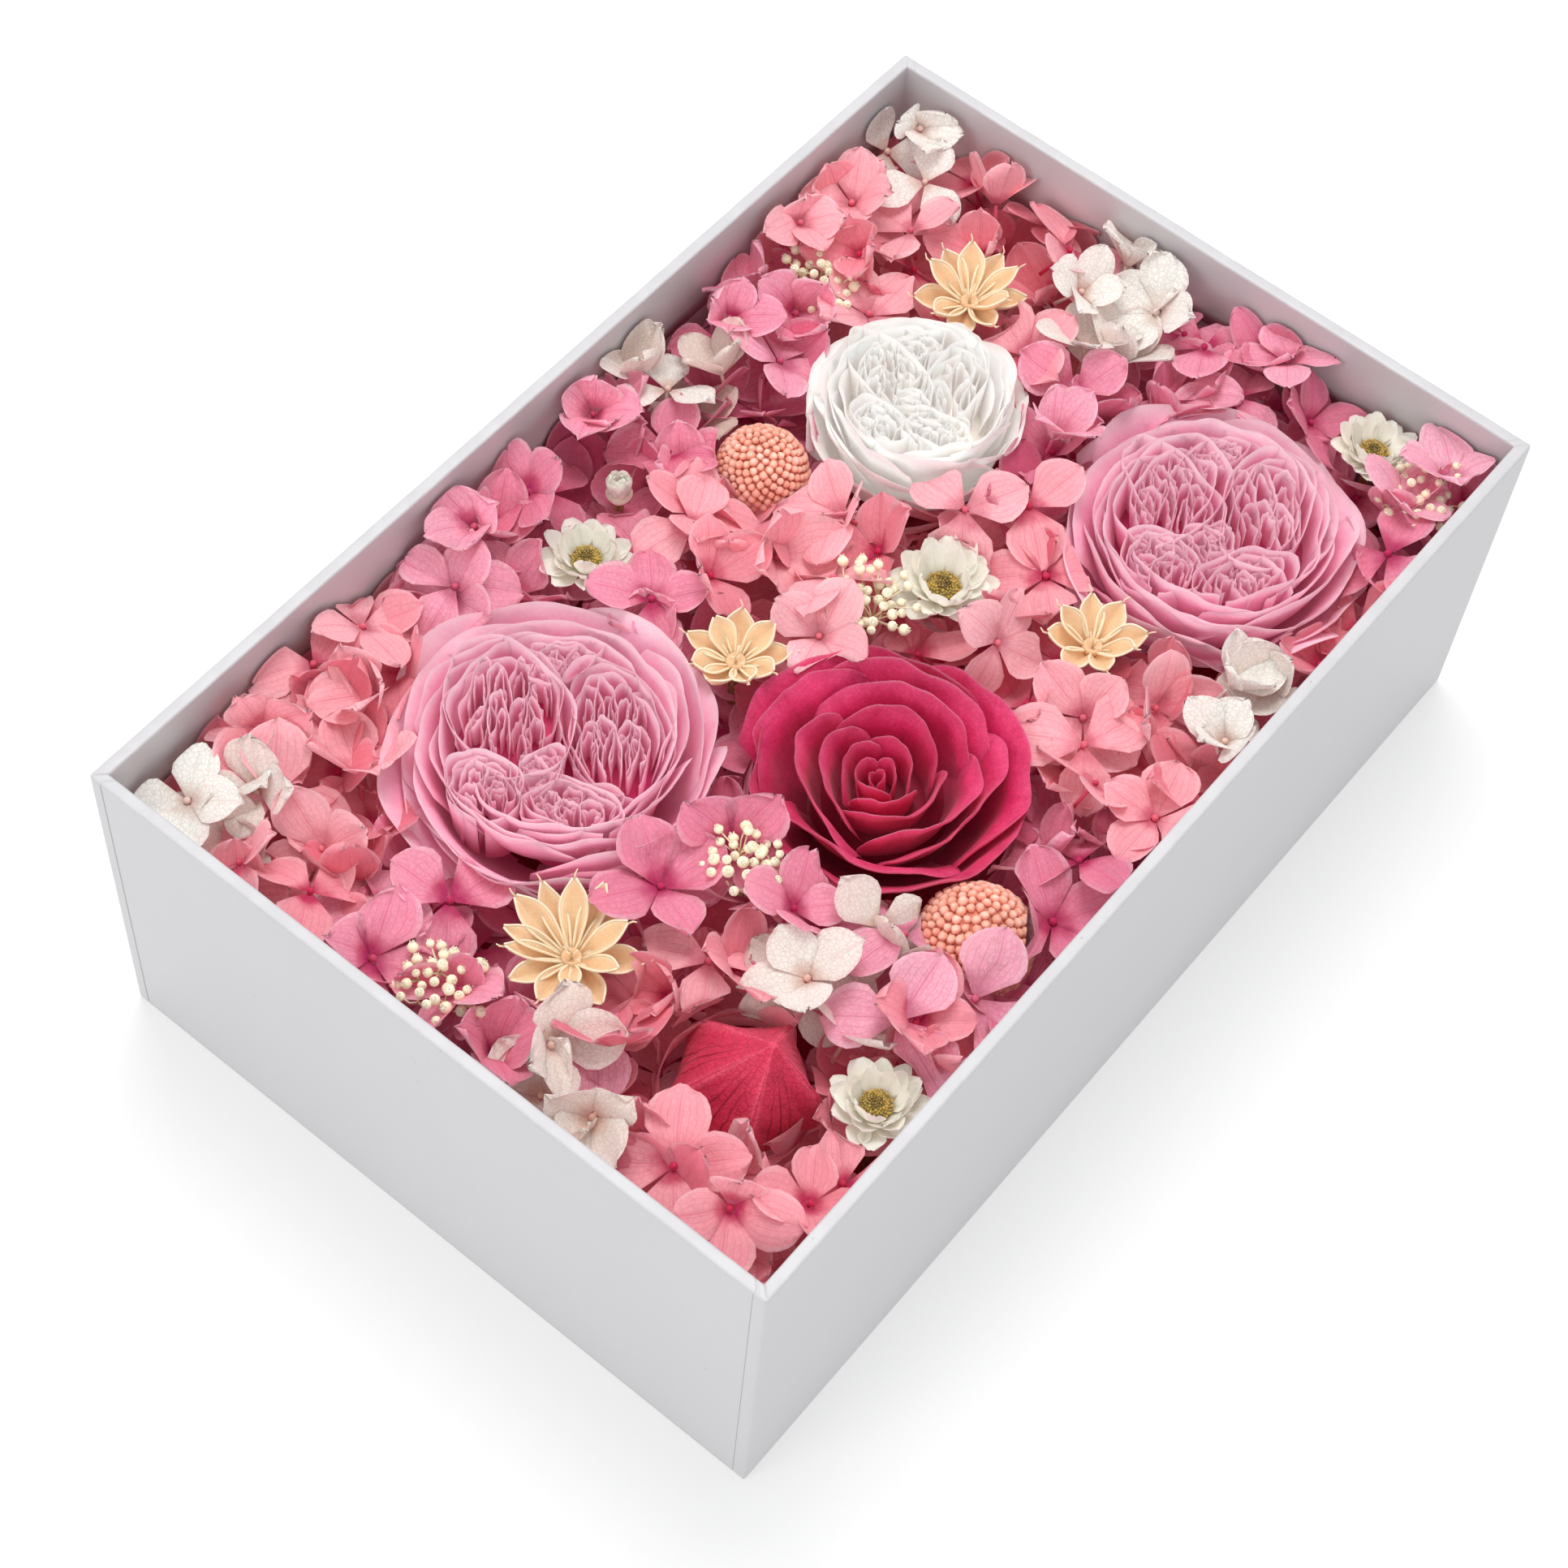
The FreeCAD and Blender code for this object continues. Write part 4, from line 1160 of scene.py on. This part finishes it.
def daisy_disc(node, material, seed):
    """The domed disc of a daisy, set with tiny yellow florets round a greener middle."""
    centre, radius, low, _ = head(node)
    rng = np.random.default_rng(seed)
    reach = 2.9 * radius / 9.0
    foot = low + 3.4
    dome = Form()
    outline = [(reach * 0.8, foot - 1.0), (reach, foot), (reach * 0.8, foot + 0.8), (reach * 0.3, foot + 1.1)]
    dome.lathe(centre, outline, 18, -0.6)
    dots = [button_bump(rng).mesh(f"{node}_dot_{k}") for k in range(3)]
    spots = []
    count = 120
    for k in range(count):
        share = math.sqrt((k + 0.5) / count)
        angle = k * GOLDEN_ANGLE
        off = np.array([math.cos(angle), math.sin(angle)]) * share * reach
        height = foot + 1.15 * (1 - share ** 2.4) + rng.uniform(-0.1, 0.25)
        normal = (off[0] * 0.25, off[1] * 0.25, 1.0)
        shade = rng.uniform(0.1, 0.7) if share > 0.45 else rng.uniform(-0.8, -0.2)
        spots.append(((centre[0] + off[0], centre[1] + off[1], height), turned_to(normal, rng.uniform(0, 6)),
                      0.42 * radius / 9.0, int(rng.integers(3)), shade))
    return scatter(node + "_disc", dots, spots, material, dome.mesh(node + "_dome"), 0.3, seed)


def spray_bud(rng):
    """A round bud of baby's breath with a tiny crown of sepal tips."""
    form = Form()
    form.lathe((0, 0), [(0.16, -0.95), (0.62, -0.72), (0.98, -0.2), (0.98, 0.28), (0.62, 0.76), (0.3, 0.9)],
               10, 0.25)
    for k in range(5):
        angle = FULL_TURN * k / 5 + rng.uniform(-0.3, 0.3)
        out = np.array([math.cos(angle), math.sin(angle), 0.0])
        form.tube([out * 0.3 + [0, 0, 0.72], out * 0.42 + [0, 0, 1.18]], (0.2, 0.07), 4, -0.1)
    return form


def spray_mesh(node, material, seed, spread=1.0):
    """A spray of baby's breath: thin forked branches with a bud at the end of each."""
    low, high = box_of(node)
    middle, half = (low + high) / 2, (high - low) / 2
    rng = np.random.default_rng(seed)
    branches = Form()
    foot = np.array([middle[0], middle[1], low[2] - 4.0])
    spots = []
    forks = []
    for k in range(7):
        angle = FULL_TURN * (k + rng.uniform(-0.3, 0.3)) / 7
        off = np.array([math.cos(angle) * half[0], math.sin(angle) * half[1]])
        off = off * rng.uniform(0.25, 0.6) * spread
        fork = np.array([middle[0] + off[0], middle[1] + off[1], middle[2] + rng.uniform(-2.5, 0.5)])
        forks.append(fork)
        branches.tube([foot, (foot + fork) / 2 + [off[0] * 0.2, off[1] * 0.2, 0], fork], (0.34, 0.28, 0.22),
                      5, -0.5)
    buds = [spray_bud(rng).mesh(f"{node}_bud_{k}") for k in range(3)]
    for k in range(sizes().spray_buds):
        angle = k * 2.39996
        reach = math.sqrt((k + 0.5) / sizes().spray_buds) * 0.94 * spread
        spot = np.array([middle[0] + math.cos(angle) * half[0] * reach + rng.uniform(-0.8, 0.8),
                         middle[1] + math.sin(angle) * half[1] * reach + rng.uniform(-0.8, 0.8),
                         high[2] - 1.4 - rng.uniform(0, 3.6) - 2.0 * reach ** 2])
        fork = min(forks, key=lambda f: np.linalg.norm(f - spot))
        away = spot - fork
        away = away / max(np.linalg.norm(away), 0.1) + np.array([0, 0, 0.5])
        knee = (fork + spot) / 2 + rng.uniform(-0.5, 0.5, 3) - [0, 0, 0.5]
        branches.tube([fork, knee, spot], (0.2, 0.15, 0.15), 4, -0.35)
        spots.append((spot, turned_to(away, rng.uniform(0, 6)), rng.uniform(0.8, 1.1), int(rng.integers(3)),
                      rng.uniform(-0.1, 0.25)))
    return scatter(node + "_spray", buds, spots, material, branches.mesh(node + "_branches"), 0.1, seed,
                   inside_the_walls)


# ------------------------------------------------------------------------------------ the covering

def side_stations(length, seam):
    """Where the covering's points stand along one wall: close together at the corners and at a seam."""
    ends = np.linspace(0, 8, 12)
    if seam:
        at = SEAM_FROM_CORNER - CORNER_ROUND
        ends = np.concatenate([np.linspace(0, 1.2, 5), np.linspace(at - 0.5, at - 0.2, 2),
                               np.linspace(at - 0.15, at + 0.15, 7), np.linspace(at + 0.5, 8, 8)])
    between = np.linspace(8, length - 8, int(length / 1.6))[1:-1]
    return np.concatenate([ends, between, (length - ends)[::-1]])


def covering_form():
    """The white covering: one closed skin of paper, from under the base up, over the rim and down inside."""
    low, high = (np.array(c) / MM for c in CAD_BOX)
    half = (high - low)[:2] / 2
    height = high[2] - low[2]
    rng = np.random.default_rng(3)
    wall, paper, turn_in, turn_under = COVER_WALL, COVER_PAPER, COVER_TURN_IN, COVER_TURN_UNDER
    tall = [(0.0, z) for z in np.linspace(1.2, height - 1.2, 17)]
    section = [(turn_under, paper), (6.0, paper), (0.55, paper), (0.22, paper + 0.08), (0.04, paper + 0.3)]
    section += tall
    section += [(0.0, height - 0.6), (0.04, height - 0.34), (0.14, height - 0.15), (0.32, height - 0.03),
                (0.55, height), (1.2, height), (wall - 0.55, height), (wall - 0.3, height - 0.03),
                (wall - 0.12, height - 0.15), (wall - 0.03, height - 0.36), (wall, height - 0.7)]
    section += [(wall, z) for z in np.linspace(height - 3, height - turn_in, 5)]
    section += [(wall - paper, height - turn_in), (wall - paper, height - 4), (wall - paper, height - paper),
                (1.2, height - paper), (paper, height - paper), (paper, height / 2), (paper, 2 * paper),
                (6.0, 2 * paper), (turn_under, 2 * paper)]
    section = np.array(section)
    stations = []
    corners = ((-1, -1), (1, -1), (1, 1), (-1, 1))
    for number, corner in enumerate(corners):
        nxt = corners[(number + 1) % 4]
        along = np.array(nxt) - np.array(corner)
        length = float(np.abs(along * half).sum()) - 2 * CORNER_ROUND
        is_end = along[1] == 0
        for s in side_stations(length, is_end):
            stations.append((number, s / length, None, is_end, min(s, length - s) + CORNER_ROUND))
        for bend in np.linspace(0, math.pi / 2, 7)[1:-1]:
            stations.append((number, 1.0, bend, is_end, 0.0))
    grid = np.empty((len(stations), len(section), 3))
    where = np.zeros((len(stations), len(section), 3))
    wave_rim = sizes().paper_waviness / MM
    for row, (number, share, bend, is_end, from_corner) in enumerate(stations):
        corner, nxt = np.array(corners[number]), np.array(corners[(number + 1) % 4])
        way = (nxt - corner) / 2
        out = np.array([way[1], -way[0]])
        for col, (inset, z) in enumerate(section):
            round_here = max(CORNER_ROUND - inset, 0.04)
            reach = half - inset
            if bend is None:
                start = corner * reach
                stop = nxt * reach
                spot = start + way * round_here + (stop - start - 2 * way * round_here) * share
            else:
                middle = nxt * (reach - round_here)
                spot = middle + round_here * (out * math.cos(bend) + way * math.sin(bend))
            grid[row, col] = (spot[0], spot[1], z)
        # the overlap of the covering stands proud from the seam to the corner, and its edge is a dark line
        if is_end and bend is None:
            proud = SEAM_STEP * (1 - smooth(SEAM_FROM_CORNER - 0.14, SEAM_FROM_CORNER - 0.03, from_corner))
            seam = 1 - smooth(0.05, 0.12, abs(from_corner - SEAM_FROM_CORNER))
            outside = section[:, 0] < 0.02
            grid[row, outside, :2] -= out * (SEAM_STEP - proud)
            where[row, outside, 0] = seam
    phase = np.linspace(0, FULL_TURN, len(stations), endpoint=False)
    drift = ripple(rng, np.sin(phase) * 6 + phase * 9, 2.0)
    drift = drift + 0.6 * ripple(rng, np.cos(phase) * 9 + phase * 17, 3.0)
    rim = np.isclose(section[:, 1], height, atol=0.5)
    grid[:, rim, 2] += np.minimum(wave_rim * drift[:, None], 0.02) - 0.04
    where[..., 2] = np.isclose(section[:, 1], height, atol=0.2)[None, :] * (section[:, 0] < 3)[None, :]
    where[..., 1] = section[None, :, 1] / height
    form = Form()
    form.solid(np.transpose(grid, (1, 0, 2)), ends=False, place=np.transpose(where, (1, 0, 2)))
    return form


# ------------------------------------------------------------------------------------ operators


class FLOWERBOX_OT_tray(bpy.types.Operator):
    """Makes the white covering, and finishes the boards, tapes, lining and base paper"""
    bl_idname = "flower_box.tray"
    bl_label = "Paper-covered tray"

    def execute(self, context):
        paper = tuple(colours().paper)
        cover = paper_finish("Covering paper", paper, seams=True, gloss=0.42, fleck_amount=0.35)
        place("covering", covering_form().mesh("covering"), cover, ["cover_paper"], "cover_paper")
        lining = paper_finish("Lining paper", mix(paper, (1.0, 1.0, 1.0), 0.05), gloss=0.6,
                              fibre_strength=0.1)
        repaint(lining, "lining_paper", "base_paper")
        board = paper_finish("Grey board", tuple(colours().board), fibre_scale=900.0, fibre_strength=0.35,
                             fleck_amount=0.8, gloss=0.85)
        repaint(board, "base_board", "front_wall_board", "rear_wall_board", "left_wall_board",
                "right_wall_board")
        tape = paper_finish("Corner tape", tint(214, 190, 146), fibre_scale=1800.0, fibre_strength=0.25,
                            gloss=0.7)
        repaint(tape, "corner_stays")
        return {"FINISHED"}


class FLOWERBOX_OT_filling(bpy.types.Operator):
    """Finishes the foam, the glue under it, and the stems and calyxes that stand in it"""
    bl_idname = "flower_box.filling"
    bl_label = "Foam, glue and stems"

    def execute(self, context):
        # the crimson foam is painted shade for the gaps between the florets
        foam_as_gap_shade = tuple(colours().foam_as_gap_shade)
        repaint(grown_finish("Floral foam painted as gap shade", foam_as_gap_shade, deeper(foam_as_gap_shade, 1.5), stretch=(1.0, 1.0, 1.0),
                             grain_scale=700.0,
                             cell_scale=1600.0, cell_strength=0.6, gloss=0.9), "floral_foam")
        repaint(grown_finish("Hot glue", tint(226, 216, 190), tint(190, 170, 130), stretch=(1.0, 1.0, 1.0),
                             grain_scale=120.0, cell_scale=200.0, gloss=0.25), "glue_dabs")
        green = grown_finish("Green stem", tint(122, 140, 74), tint(66, 84, 40), grain_scale=900.0,
                             gloss=0.55)
        repaint(green, "rose_stems", "physalis_stem", "pink_hydrangea_stems", "white_hydrangea_stems")
        repaint(grown_finish("Calyx green", tint(104, 128, 66), tint(58, 78, 36), grain_scale=500.0,
                             gloss=0.5),
                "rose_calyxes")
        dry = grown_finish("Dry stem", tint(196, 172, 122), tint(140, 112, 70), grain_scale=1100.0, gloss=0.7)
        repaint(dry, "billy_button_stems", "seed_pod_stems", "daisy_stems", "babys_breath_stems")
        repaint(grown_finish("Berry skin", tint(226, 112, 40), tint(180, 60, 22), stretch=(1.0, 1.0, 1.0),
                             grain_scale=90.0, cell_scale=900.0, gloss=0.25), "physalis_berry")
        return {"FINISHED"}


class FLOWERBOX_OT_hot_pink_rose(bpy.types.Operator):
    """Makes the open hot pink rose"""
    bl_idname = "flower_box.hot_pink_rose"
    bl_label = "Hot pink rose"

    def execute(self, context):
        body = tuple(colours().hot_rose)
        skin = petal_finish(
            "Hot pink petal", tint(112, 0, 32), body, tint(222, 84, 128), tint(140, 0, 48), deep_end=0.85,
            rim_start=0.74, rim_strength=0.62, edge_strength=0.15, vein_strength=0.4, vein_count=23.0,
            net_strength=0.2, net_scale=1100.0, mottle=0.3, mottle_scale=230.0, gloss=0.6)
        mesh = hot_pink_bloom().mesh("hot_pink_rose_bloom")
        place("hot_pink_rose_bloom", mesh, skin, ["hot_pink_rose"], "hot_pink_petal")
        return {"FINISHED"}


class FLOWERBOX_OT_garden_roses(bpy.types.Operator):
    """Makes the two light pink quartered roses and the white one"""
    bl_idname = "flower_box.garden_roses"
    bl_label = "Garden roses"

    def execute(self, context):
        body = tuple(colours().light_rose)
        pink = petal_finish(
            "Light pink petal", tint(200, 62, 110), body, tint(254, 220, 230), tint(214, 96, 142),
            deep_end=0.78,
            rim_start=0.72, rim_strength=0.8, edge_strength=0.3, vein_strength=0.12, vein_count=17.0,
            net_strength=0.0, mottle=0.1, mottle_scale=150.0, gloss=0.55)
        front = ((-8.6, 5.0, 11.4, 14.6), (10.2, 1.4, 9.8, 14.6), (-12.2, -11.2, 7.0, 6.6),
                 (3.0, -14.4, 9.4, 5.4),
                 (1.0, 15.4, 6.6, 4.4), (-2.6, -8.0, 4.4, 5.0))
        rear = ((-7.2, 6.2, 10.4, 12.8), (9.8, 2.6, 9.2, 13.4), (-10.4, -9.6, 7.2, 6.8),
                (4.8, -12.6, 9.4, 5.8),
                (1.2, 15.0, 6.0, 4.0), (-1.6, -6.0, 4.6, 5.0))
        blooms = (("light_pink_rose_front", front, 31, 1.0), ("light_pink_rose_rear", rear, 47, 0.95))
        for node, quarters, seed, share in blooms:
            mesh = garden_bloom(node, quarters, seed, share).mesh(node + "_bloom")
            place(node + "_bloom", mesh, pink, [node], "light_pink_petal")
        # the white petals glow a little more than the others: painted light
        white = petal_finish(
            "White petal", tint(250, 240, 230), tuple(colours().white_rose), tint(253, 252, 250),
            tint(238, 230, 214), deep_end=0.55, rim_start=0.7, rim_strength=0.8, edge_strength=0.3,
            vein_strength=0.06, vein_count=17.0, net_strength=0.0, mottle=0.05, gloss=0.5,
            sockets={"Emission Strength": 0.08})
        quarters = ((-5.4, 4.0, 7.8, 9.4), (6.6, 1.4, 7.0, 9.6), (-7.4, -7.2, 5.2, 4.8),
                    (3.0, -9.4, 6.8, 4.4),
                    (0.6, 10.6, 4.6, 3.2), (-1.4, -4.6, 3.4, 3.8))
        mesh = garden_bloom("white_rose", quarters, 52, 0.72).mesh("white_rose_bloom")
        place("white_rose_bloom", mesh, white, ["white_rose"], "white_petal")
        return {"FINISHED"}


class FLOWERBOX_OT_hydrangea(bpy.types.Operator):
    """Makes the bed of pink and white hydrangea sprigs round the other flowers"""
    bl_idname = "flower_box.hydrangea"
    bl_label = "Hydrangea bed"

    def execute(self, context):
        pink = petal_finish(
            "Pink sepal", tint(184, 30, 72), tuple(colours().pink_sepal), tint(250, 198, 204),
            tint(212, 74, 106),
            deep_end=0.2, rim_start=0.86, rim_strength=0.6, edge_strength=0.55, vein_strength=0.42,
            vein_count=9.0, net_strength=0.16, net_scale=950.0, mottle=0.16, mottle_scale=200.0, gloss=0.55)
        rose = petal_finish(
            "Rose sepal", tint(170, 26, 78), mix(tuple(colours().pink_sepal), tint(216, 110, 160), 0.34),
            tint(250, 204, 220),
            tint(200, 66, 112), deep_end=0.24, rim_start=0.84, rim_strength=0.6, edge_strength=0.5,
            vein_strength=0.5,
            vein_count=9.0, net_strength=0.24, net_scale=950.0, mottle=0.2, mottle_scale=200.0, gloss=0.55)
        white = petal_finish(
            "White sepal", tint(208, 168, 152), tuple(colours().white_sepal), tint(246, 240, 234),
            tint(184, 152, 138), deep_end=0.22, rim_start=0.88, rim_strength=0.8, edge_strength=0.6,
            vein_strength=0.3, vein_count=9.0, net_strength=0.42, net_scale=1100.0, mottle=0.08, gloss=0.5)
        forms = {"pink": floret_forms("pink_floret", 61, -0.9),
                 "white": floret_forms("white_floret", 73, -0.9)}
        settle = clear_of_heads(heads_in_the_way())
        for number, (sprig, spots) in enumerate(hydrangea_spots().items()):
            kind = "white" if sprig in WHITE_SPRIGS else "pink"
            skin = white if kind == "white" else (pink, rose)[number % 2]
            mesh = scatter(sprig + "_florets", forms[kind], spots, skin, None, 0.08, 100 + number, settle)
            place(sprig + "_florets", mesh, skin, [sprig], kind + "_sepal")
        for form in forms["pink"] + forms["white"]:
            bpy.data.meshes.remove(form)
        return {"FINISHED"}


class FLOWERBOX_OT_physalis(bpy.types.Operator):
    """Makes the papery husk of the physalis"""
    bl_idname = "flower_box.physalis"
    bl_label = "Physalis"

    def execute(self, context):
        # the paler edges fall on the ribs: painted highlight along the ridges
        skin = petal_finish(
            "Red husk", tint(140, 6, 38), tuple(colours().husk), tint(224, 96, 122), tint(128, 0, 36),
            deep_end=0.35,
            rim_start=0.97, rim_strength=0.3, edge_strength=0.6, vein_strength=0.8, vein_count=3.0,
            net_strength=0.34, net_scale=900.0, mottle=0.3, mottle_scale=260.0, gloss=0.5, relief=0.6)
        place("physalis_lantern", husk_form().mesh("physalis_lantern"), skin, ["physalis_husk"], "red_husk")
        return {"FINISHED"}


class FLOWERBOX_OT_billy_buttons(bpy.types.Operator):
    """Makes the two round billy buttons"""
    bl_idname = "flower_box.billy_buttons"
    bl_label = "Billy buttons"

    def execute(self, context):
        body = tuple(colours().button)
        skin = petal_finish(
            "Peach floret", tint(206, 108, 84), body, tint(246, 214, 200), tint(216, 132, 108), deep_end=0.6,
            rim_start=0.8, rim_strength=0.45, edge_strength=0.1, vein_strength=0.0, net_strength=0.0,
            mottle=0.25,
            mottle_scale=140.0, gloss=0.7)
        for number, node in enumerate(("billy_button_front", "billy_button_rear")):
            place(node + "_head", button_mesh(node, skin, 11 + number), skin, [node], "peach_floret")
        return {"FINISHED"}


class FLOWERBOX_OT_seed_pods(bpy.types.Operator):
    """Makes the four dried star-shaped seed heads"""
    bl_idname = "flower_box.seed_pods"
    bl_label = "Seed pods"

    def execute(self, context):
        body = tuple(colours().pod)
        skin = petal_finish(
            "Dry pod", tint(216, 164, 118), body, tint(249, 229, 196), tint(212, 164, 118), deep_end=0.45,
            rim_start=0.9, rim_strength=0.6, edge_strength=0.8, vein_strength=0.3, vein_count=4.0,
            net_strength=0.0, mottle=0.14, mottle_scale=260.0, gloss=0.6)
        for node, carpels, seed in (("seed_pod_front", 14, 5), ("seed_pod_left", 9, 6),
                                    ("seed_pod_right", 8, 7),
                                    ("seed_pod_rear", 11, 8)):
            place(node + "_star", pod_form(node, carpels, seed).mesh(node + "_star"), skin, [node], "dry_pod")
        return {"FINISHED"}


class FLOWERBOX_OT_daisies(bpy.types.Operator):
    """Makes the papery daisies and their discs, and the bud"""
    bl_idname = "flower_box.daisies"
    bl_label = "Daisies"

    def execute(self, context):
        petals = petal_finish(
            "Daisy white", tint(226, 212, 180), tuple(colours().daisy), tint(252, 250, 244),
            tint(222, 208, 184),
            deep_end=0.4, rim_start=0.8, rim_strength=0.5, edge_strength=0.4, vein_strength=0.35,
            vein_count=9.0,
            net_strength=0.0, mottle=0.06, gloss=0.5)
        disc = petal_finish(
            "Daisy disc", tint(66, 60, 34), tint(150, 120, 62), tint(190, 152, 70), tint(96, 82, 44),
            deep_end=0.7, vein_strength=0.0, net_strength=0.0, mottle=0.3, gloss=0.75)
        for number, node in enumerate(("daisy_left", "daisy_centre", "daisy_front", "daisy_rear",
                                       "daisy_bud")):
            closed = node == "daisy_bud"
            form = daisy_form(node, 41 + number, closed)
            place(node + "_petals", form.mesh(node + "_petals"), petals, [node], "daisy_white")
            if not closed:
                place(node + "_disc", daisy_disc(node, disc, 80 + number), disc, [node], "daisy_white")
        return {"FINISHED"}


class FLOWERBOX_OT_babys_breath(bpy.types.Operator):
    """Makes the sprays of baby's breath"""
    bl_idname = "flower_box.babys_breath"
    bl_label = "Baby's breath"

    def execute(self, context):
        skin = petal_finish(
            "Cream bud", tint(206, 170, 112), tuple(colours().breath), tint(252, 244, 220),
            tint(214, 190, 150), deep_end=0.35,
            rim_start=0.7, rim_strength=0.5, edge_strength=0.0, vein_strength=0.0, net_strength=0.0,
            mottle=0.1,
            gloss=0.6)
        for number, place_name in enumerate(("front", "centre", "middle", "rear", "corner")):
            node = "babys_breath_" + place_name
            place(node + "_spray", spray_mesh(node, skin, 90 + number), skin, [node], "cream_bud")
        return {"FINISHED"}


FLOOR_REACH, FLOOR_LEVEL = 40.0, -0.0002       # half the floor's width, and how far under the box it lies
LAMPS = (  # name, place, size, power, colour
    ("window", (-0.3, -1.1, 0.75), 0.6, 3.0, (1.0, 0.98, 0.95)),
    ("overhead", (-0.25, 0.3, 1.3), 0.7, 10.5, (1.0, 0.99, 0.98)),
    ("side", (0.75, -0.6, 0.5), 0.5, 0.9, (0.93, 0.97, 1.0)),
)
LAMPS_AIM = (0.0, 0.0, 0.06)
CAMERA_PLACE = (0.18483, -0.28634, 0.55579)
CAMERA_ACROSS = (0.7751904, 0.62933574, 0.05492147)
CAMERA_UP = (-0.55648947, 0.63913232, 0.53087602)


class FLOWERBOX_OT_stage(bpy.types.Operator):
    """Sets the pale floor, the soft lights and the camera"""
    bl_idname = "flower_box.stage"
    bl_label = "Stage"

    def execute(self, context):
        scene = context.scene
        scene.view_settings.view_transform = "Standard"
        floor_mesh = bpy.data.meshes.new("floor")
        corners = ((-1, -1), (1, -1), (1, 1), (-1, 1))
        floor_mesh.from_pydata([(x * FLOOR_REACH, y * FLOOR_REACH, FLOOR_LEVEL) for x, y in corners], [],
                               [(0, 1, 2, 3)])
        pale = bpy.data.materials.new("Pale floor")
        pale.use_nodes = True
        shader = pale.node_tree.nodes["Principled BSDF"]
        shader.inputs["Base Color"].default_value = (0.5, 0.5, 0.5, 1.0)
        shader.inputs["Roughness"].default_value = 1.0
        shader.inputs["Specular IOR Level"].default_value = 0.0
        shader.inputs["Emission Color"].default_value = (1.0, 1.0, 1.0, 1.0)
        shader.inputs["Emission Strength"].default_value = 0.46
        floor_mesh.materials.append(pale)
        floor = bpy.data.objects.new("floor", floor_mesh)
        scene.collection.objects.link(floor)
        world = bpy.data.worlds.new("Soft daylight")
        world.use_nodes = True
        world.node_tree.nodes["Background"].inputs["Color"].default_value = (0.97, 0.985, 1.0, 1.0)
        world.node_tree.nodes["Background"].inputs["Strength"].default_value = 0.75
        scene.world = world
        for name, spot, size, power, shade in LAMPS:
            lamp = bpy.data.lights.new(name, "AREA")
            lamp.shape = "DISK"
            lamp.size = size
            lamp.energy = power
            lamp.color = shade
            made = bpy.data.objects.new(name, lamp)
            made.location = spot
            aim = Vector(LAMPS_AIM) - Vector(spot)
            made.rotation_euler = aim.to_track_quat("-Z", "Y").to_euler()
            scene.collection.objects.link(made)
        lens = bpy.data.cameras.new("camera")
        lens.sensor_width = 36.0
        lens.lens = 75.93
        lens.clip_start = 0.01
        camera = bpy.data.objects.new("camera", lens)
        across, up = Vector(CAMERA_ACROSS), Vector(CAMERA_UP)
        turned = Matrix((across, up, across.cross(up))).transposed().to_4x4()
        camera.matrix_world = Matrix.Translation(CAMERA_PLACE) @ turned
        scene.collection.objects.link(camera)
        scene.camera = camera
        return {"FINISHED"}


OPERATORS = (
    FLOWERBOX_OT_stage, FLOWERBOX_OT_tray, FLOWERBOX_OT_filling, FLOWERBOX_OT_hot_pink_rose,
    FLOWERBOX_OT_garden_roses, FLOWERBOX_OT_hydrangea, FLOWERBOX_OT_physalis, FLOWERBOX_OT_billy_buttons,
    FLOWERBOX_OT_seed_pods, FLOWERBOX_OT_daisies, FLOWERBOX_OT_babys_breath,
)


class FLOWERBOX_PT_pieces(bpy.types.Panel):
    """Lists the flower box's pieces, sizes and colours"""
    bl_idname = "FLOWERBOX_PT_pieces"
    bl_label = "Flower box"
    bl_space_type = "VIEW_3D"
    bl_region_type = "UI"
    bl_category = "Flower box"

    def draw(self, context):
        for group in (context.scene.flower_box_sizes, context.scene.flower_box_colours):
            box = self.layout.box()
            for key in group.__annotations__:
                box.prop(group, key)
        for operator in OPERATORS:
            self.layout.operator(operator.bl_idname)


CLASSES = (FlowerBoxColours, FlowerBoxSizes, *OPERATORS, FLOWERBOX_PT_pieces)


def register():
    for cls in CLASSES:
        bpy.utils.register_class(cls)
    bpy.types.Scene.flower_box_colours = bpy.props.PointerProperty(type=FlowerBoxColours)
    bpy.types.Scene.flower_box_sizes = bpy.props.PointerProperty(type=FlowerBoxSizes)


def unregister():
    del bpy.types.Scene.flower_box_sizes
    del bpy.types.Scene.flower_box_colours
    for cls in reversed(CLASSES):
        bpy.utils.unregister_class(cls)


def main():
    register()
    for operator in OPERATORS:
        group, name = operator.bl_idname.split(".")
        getattr(getattr(bpy.ops, group), name)()


if __name__ == "__main__":
    main()
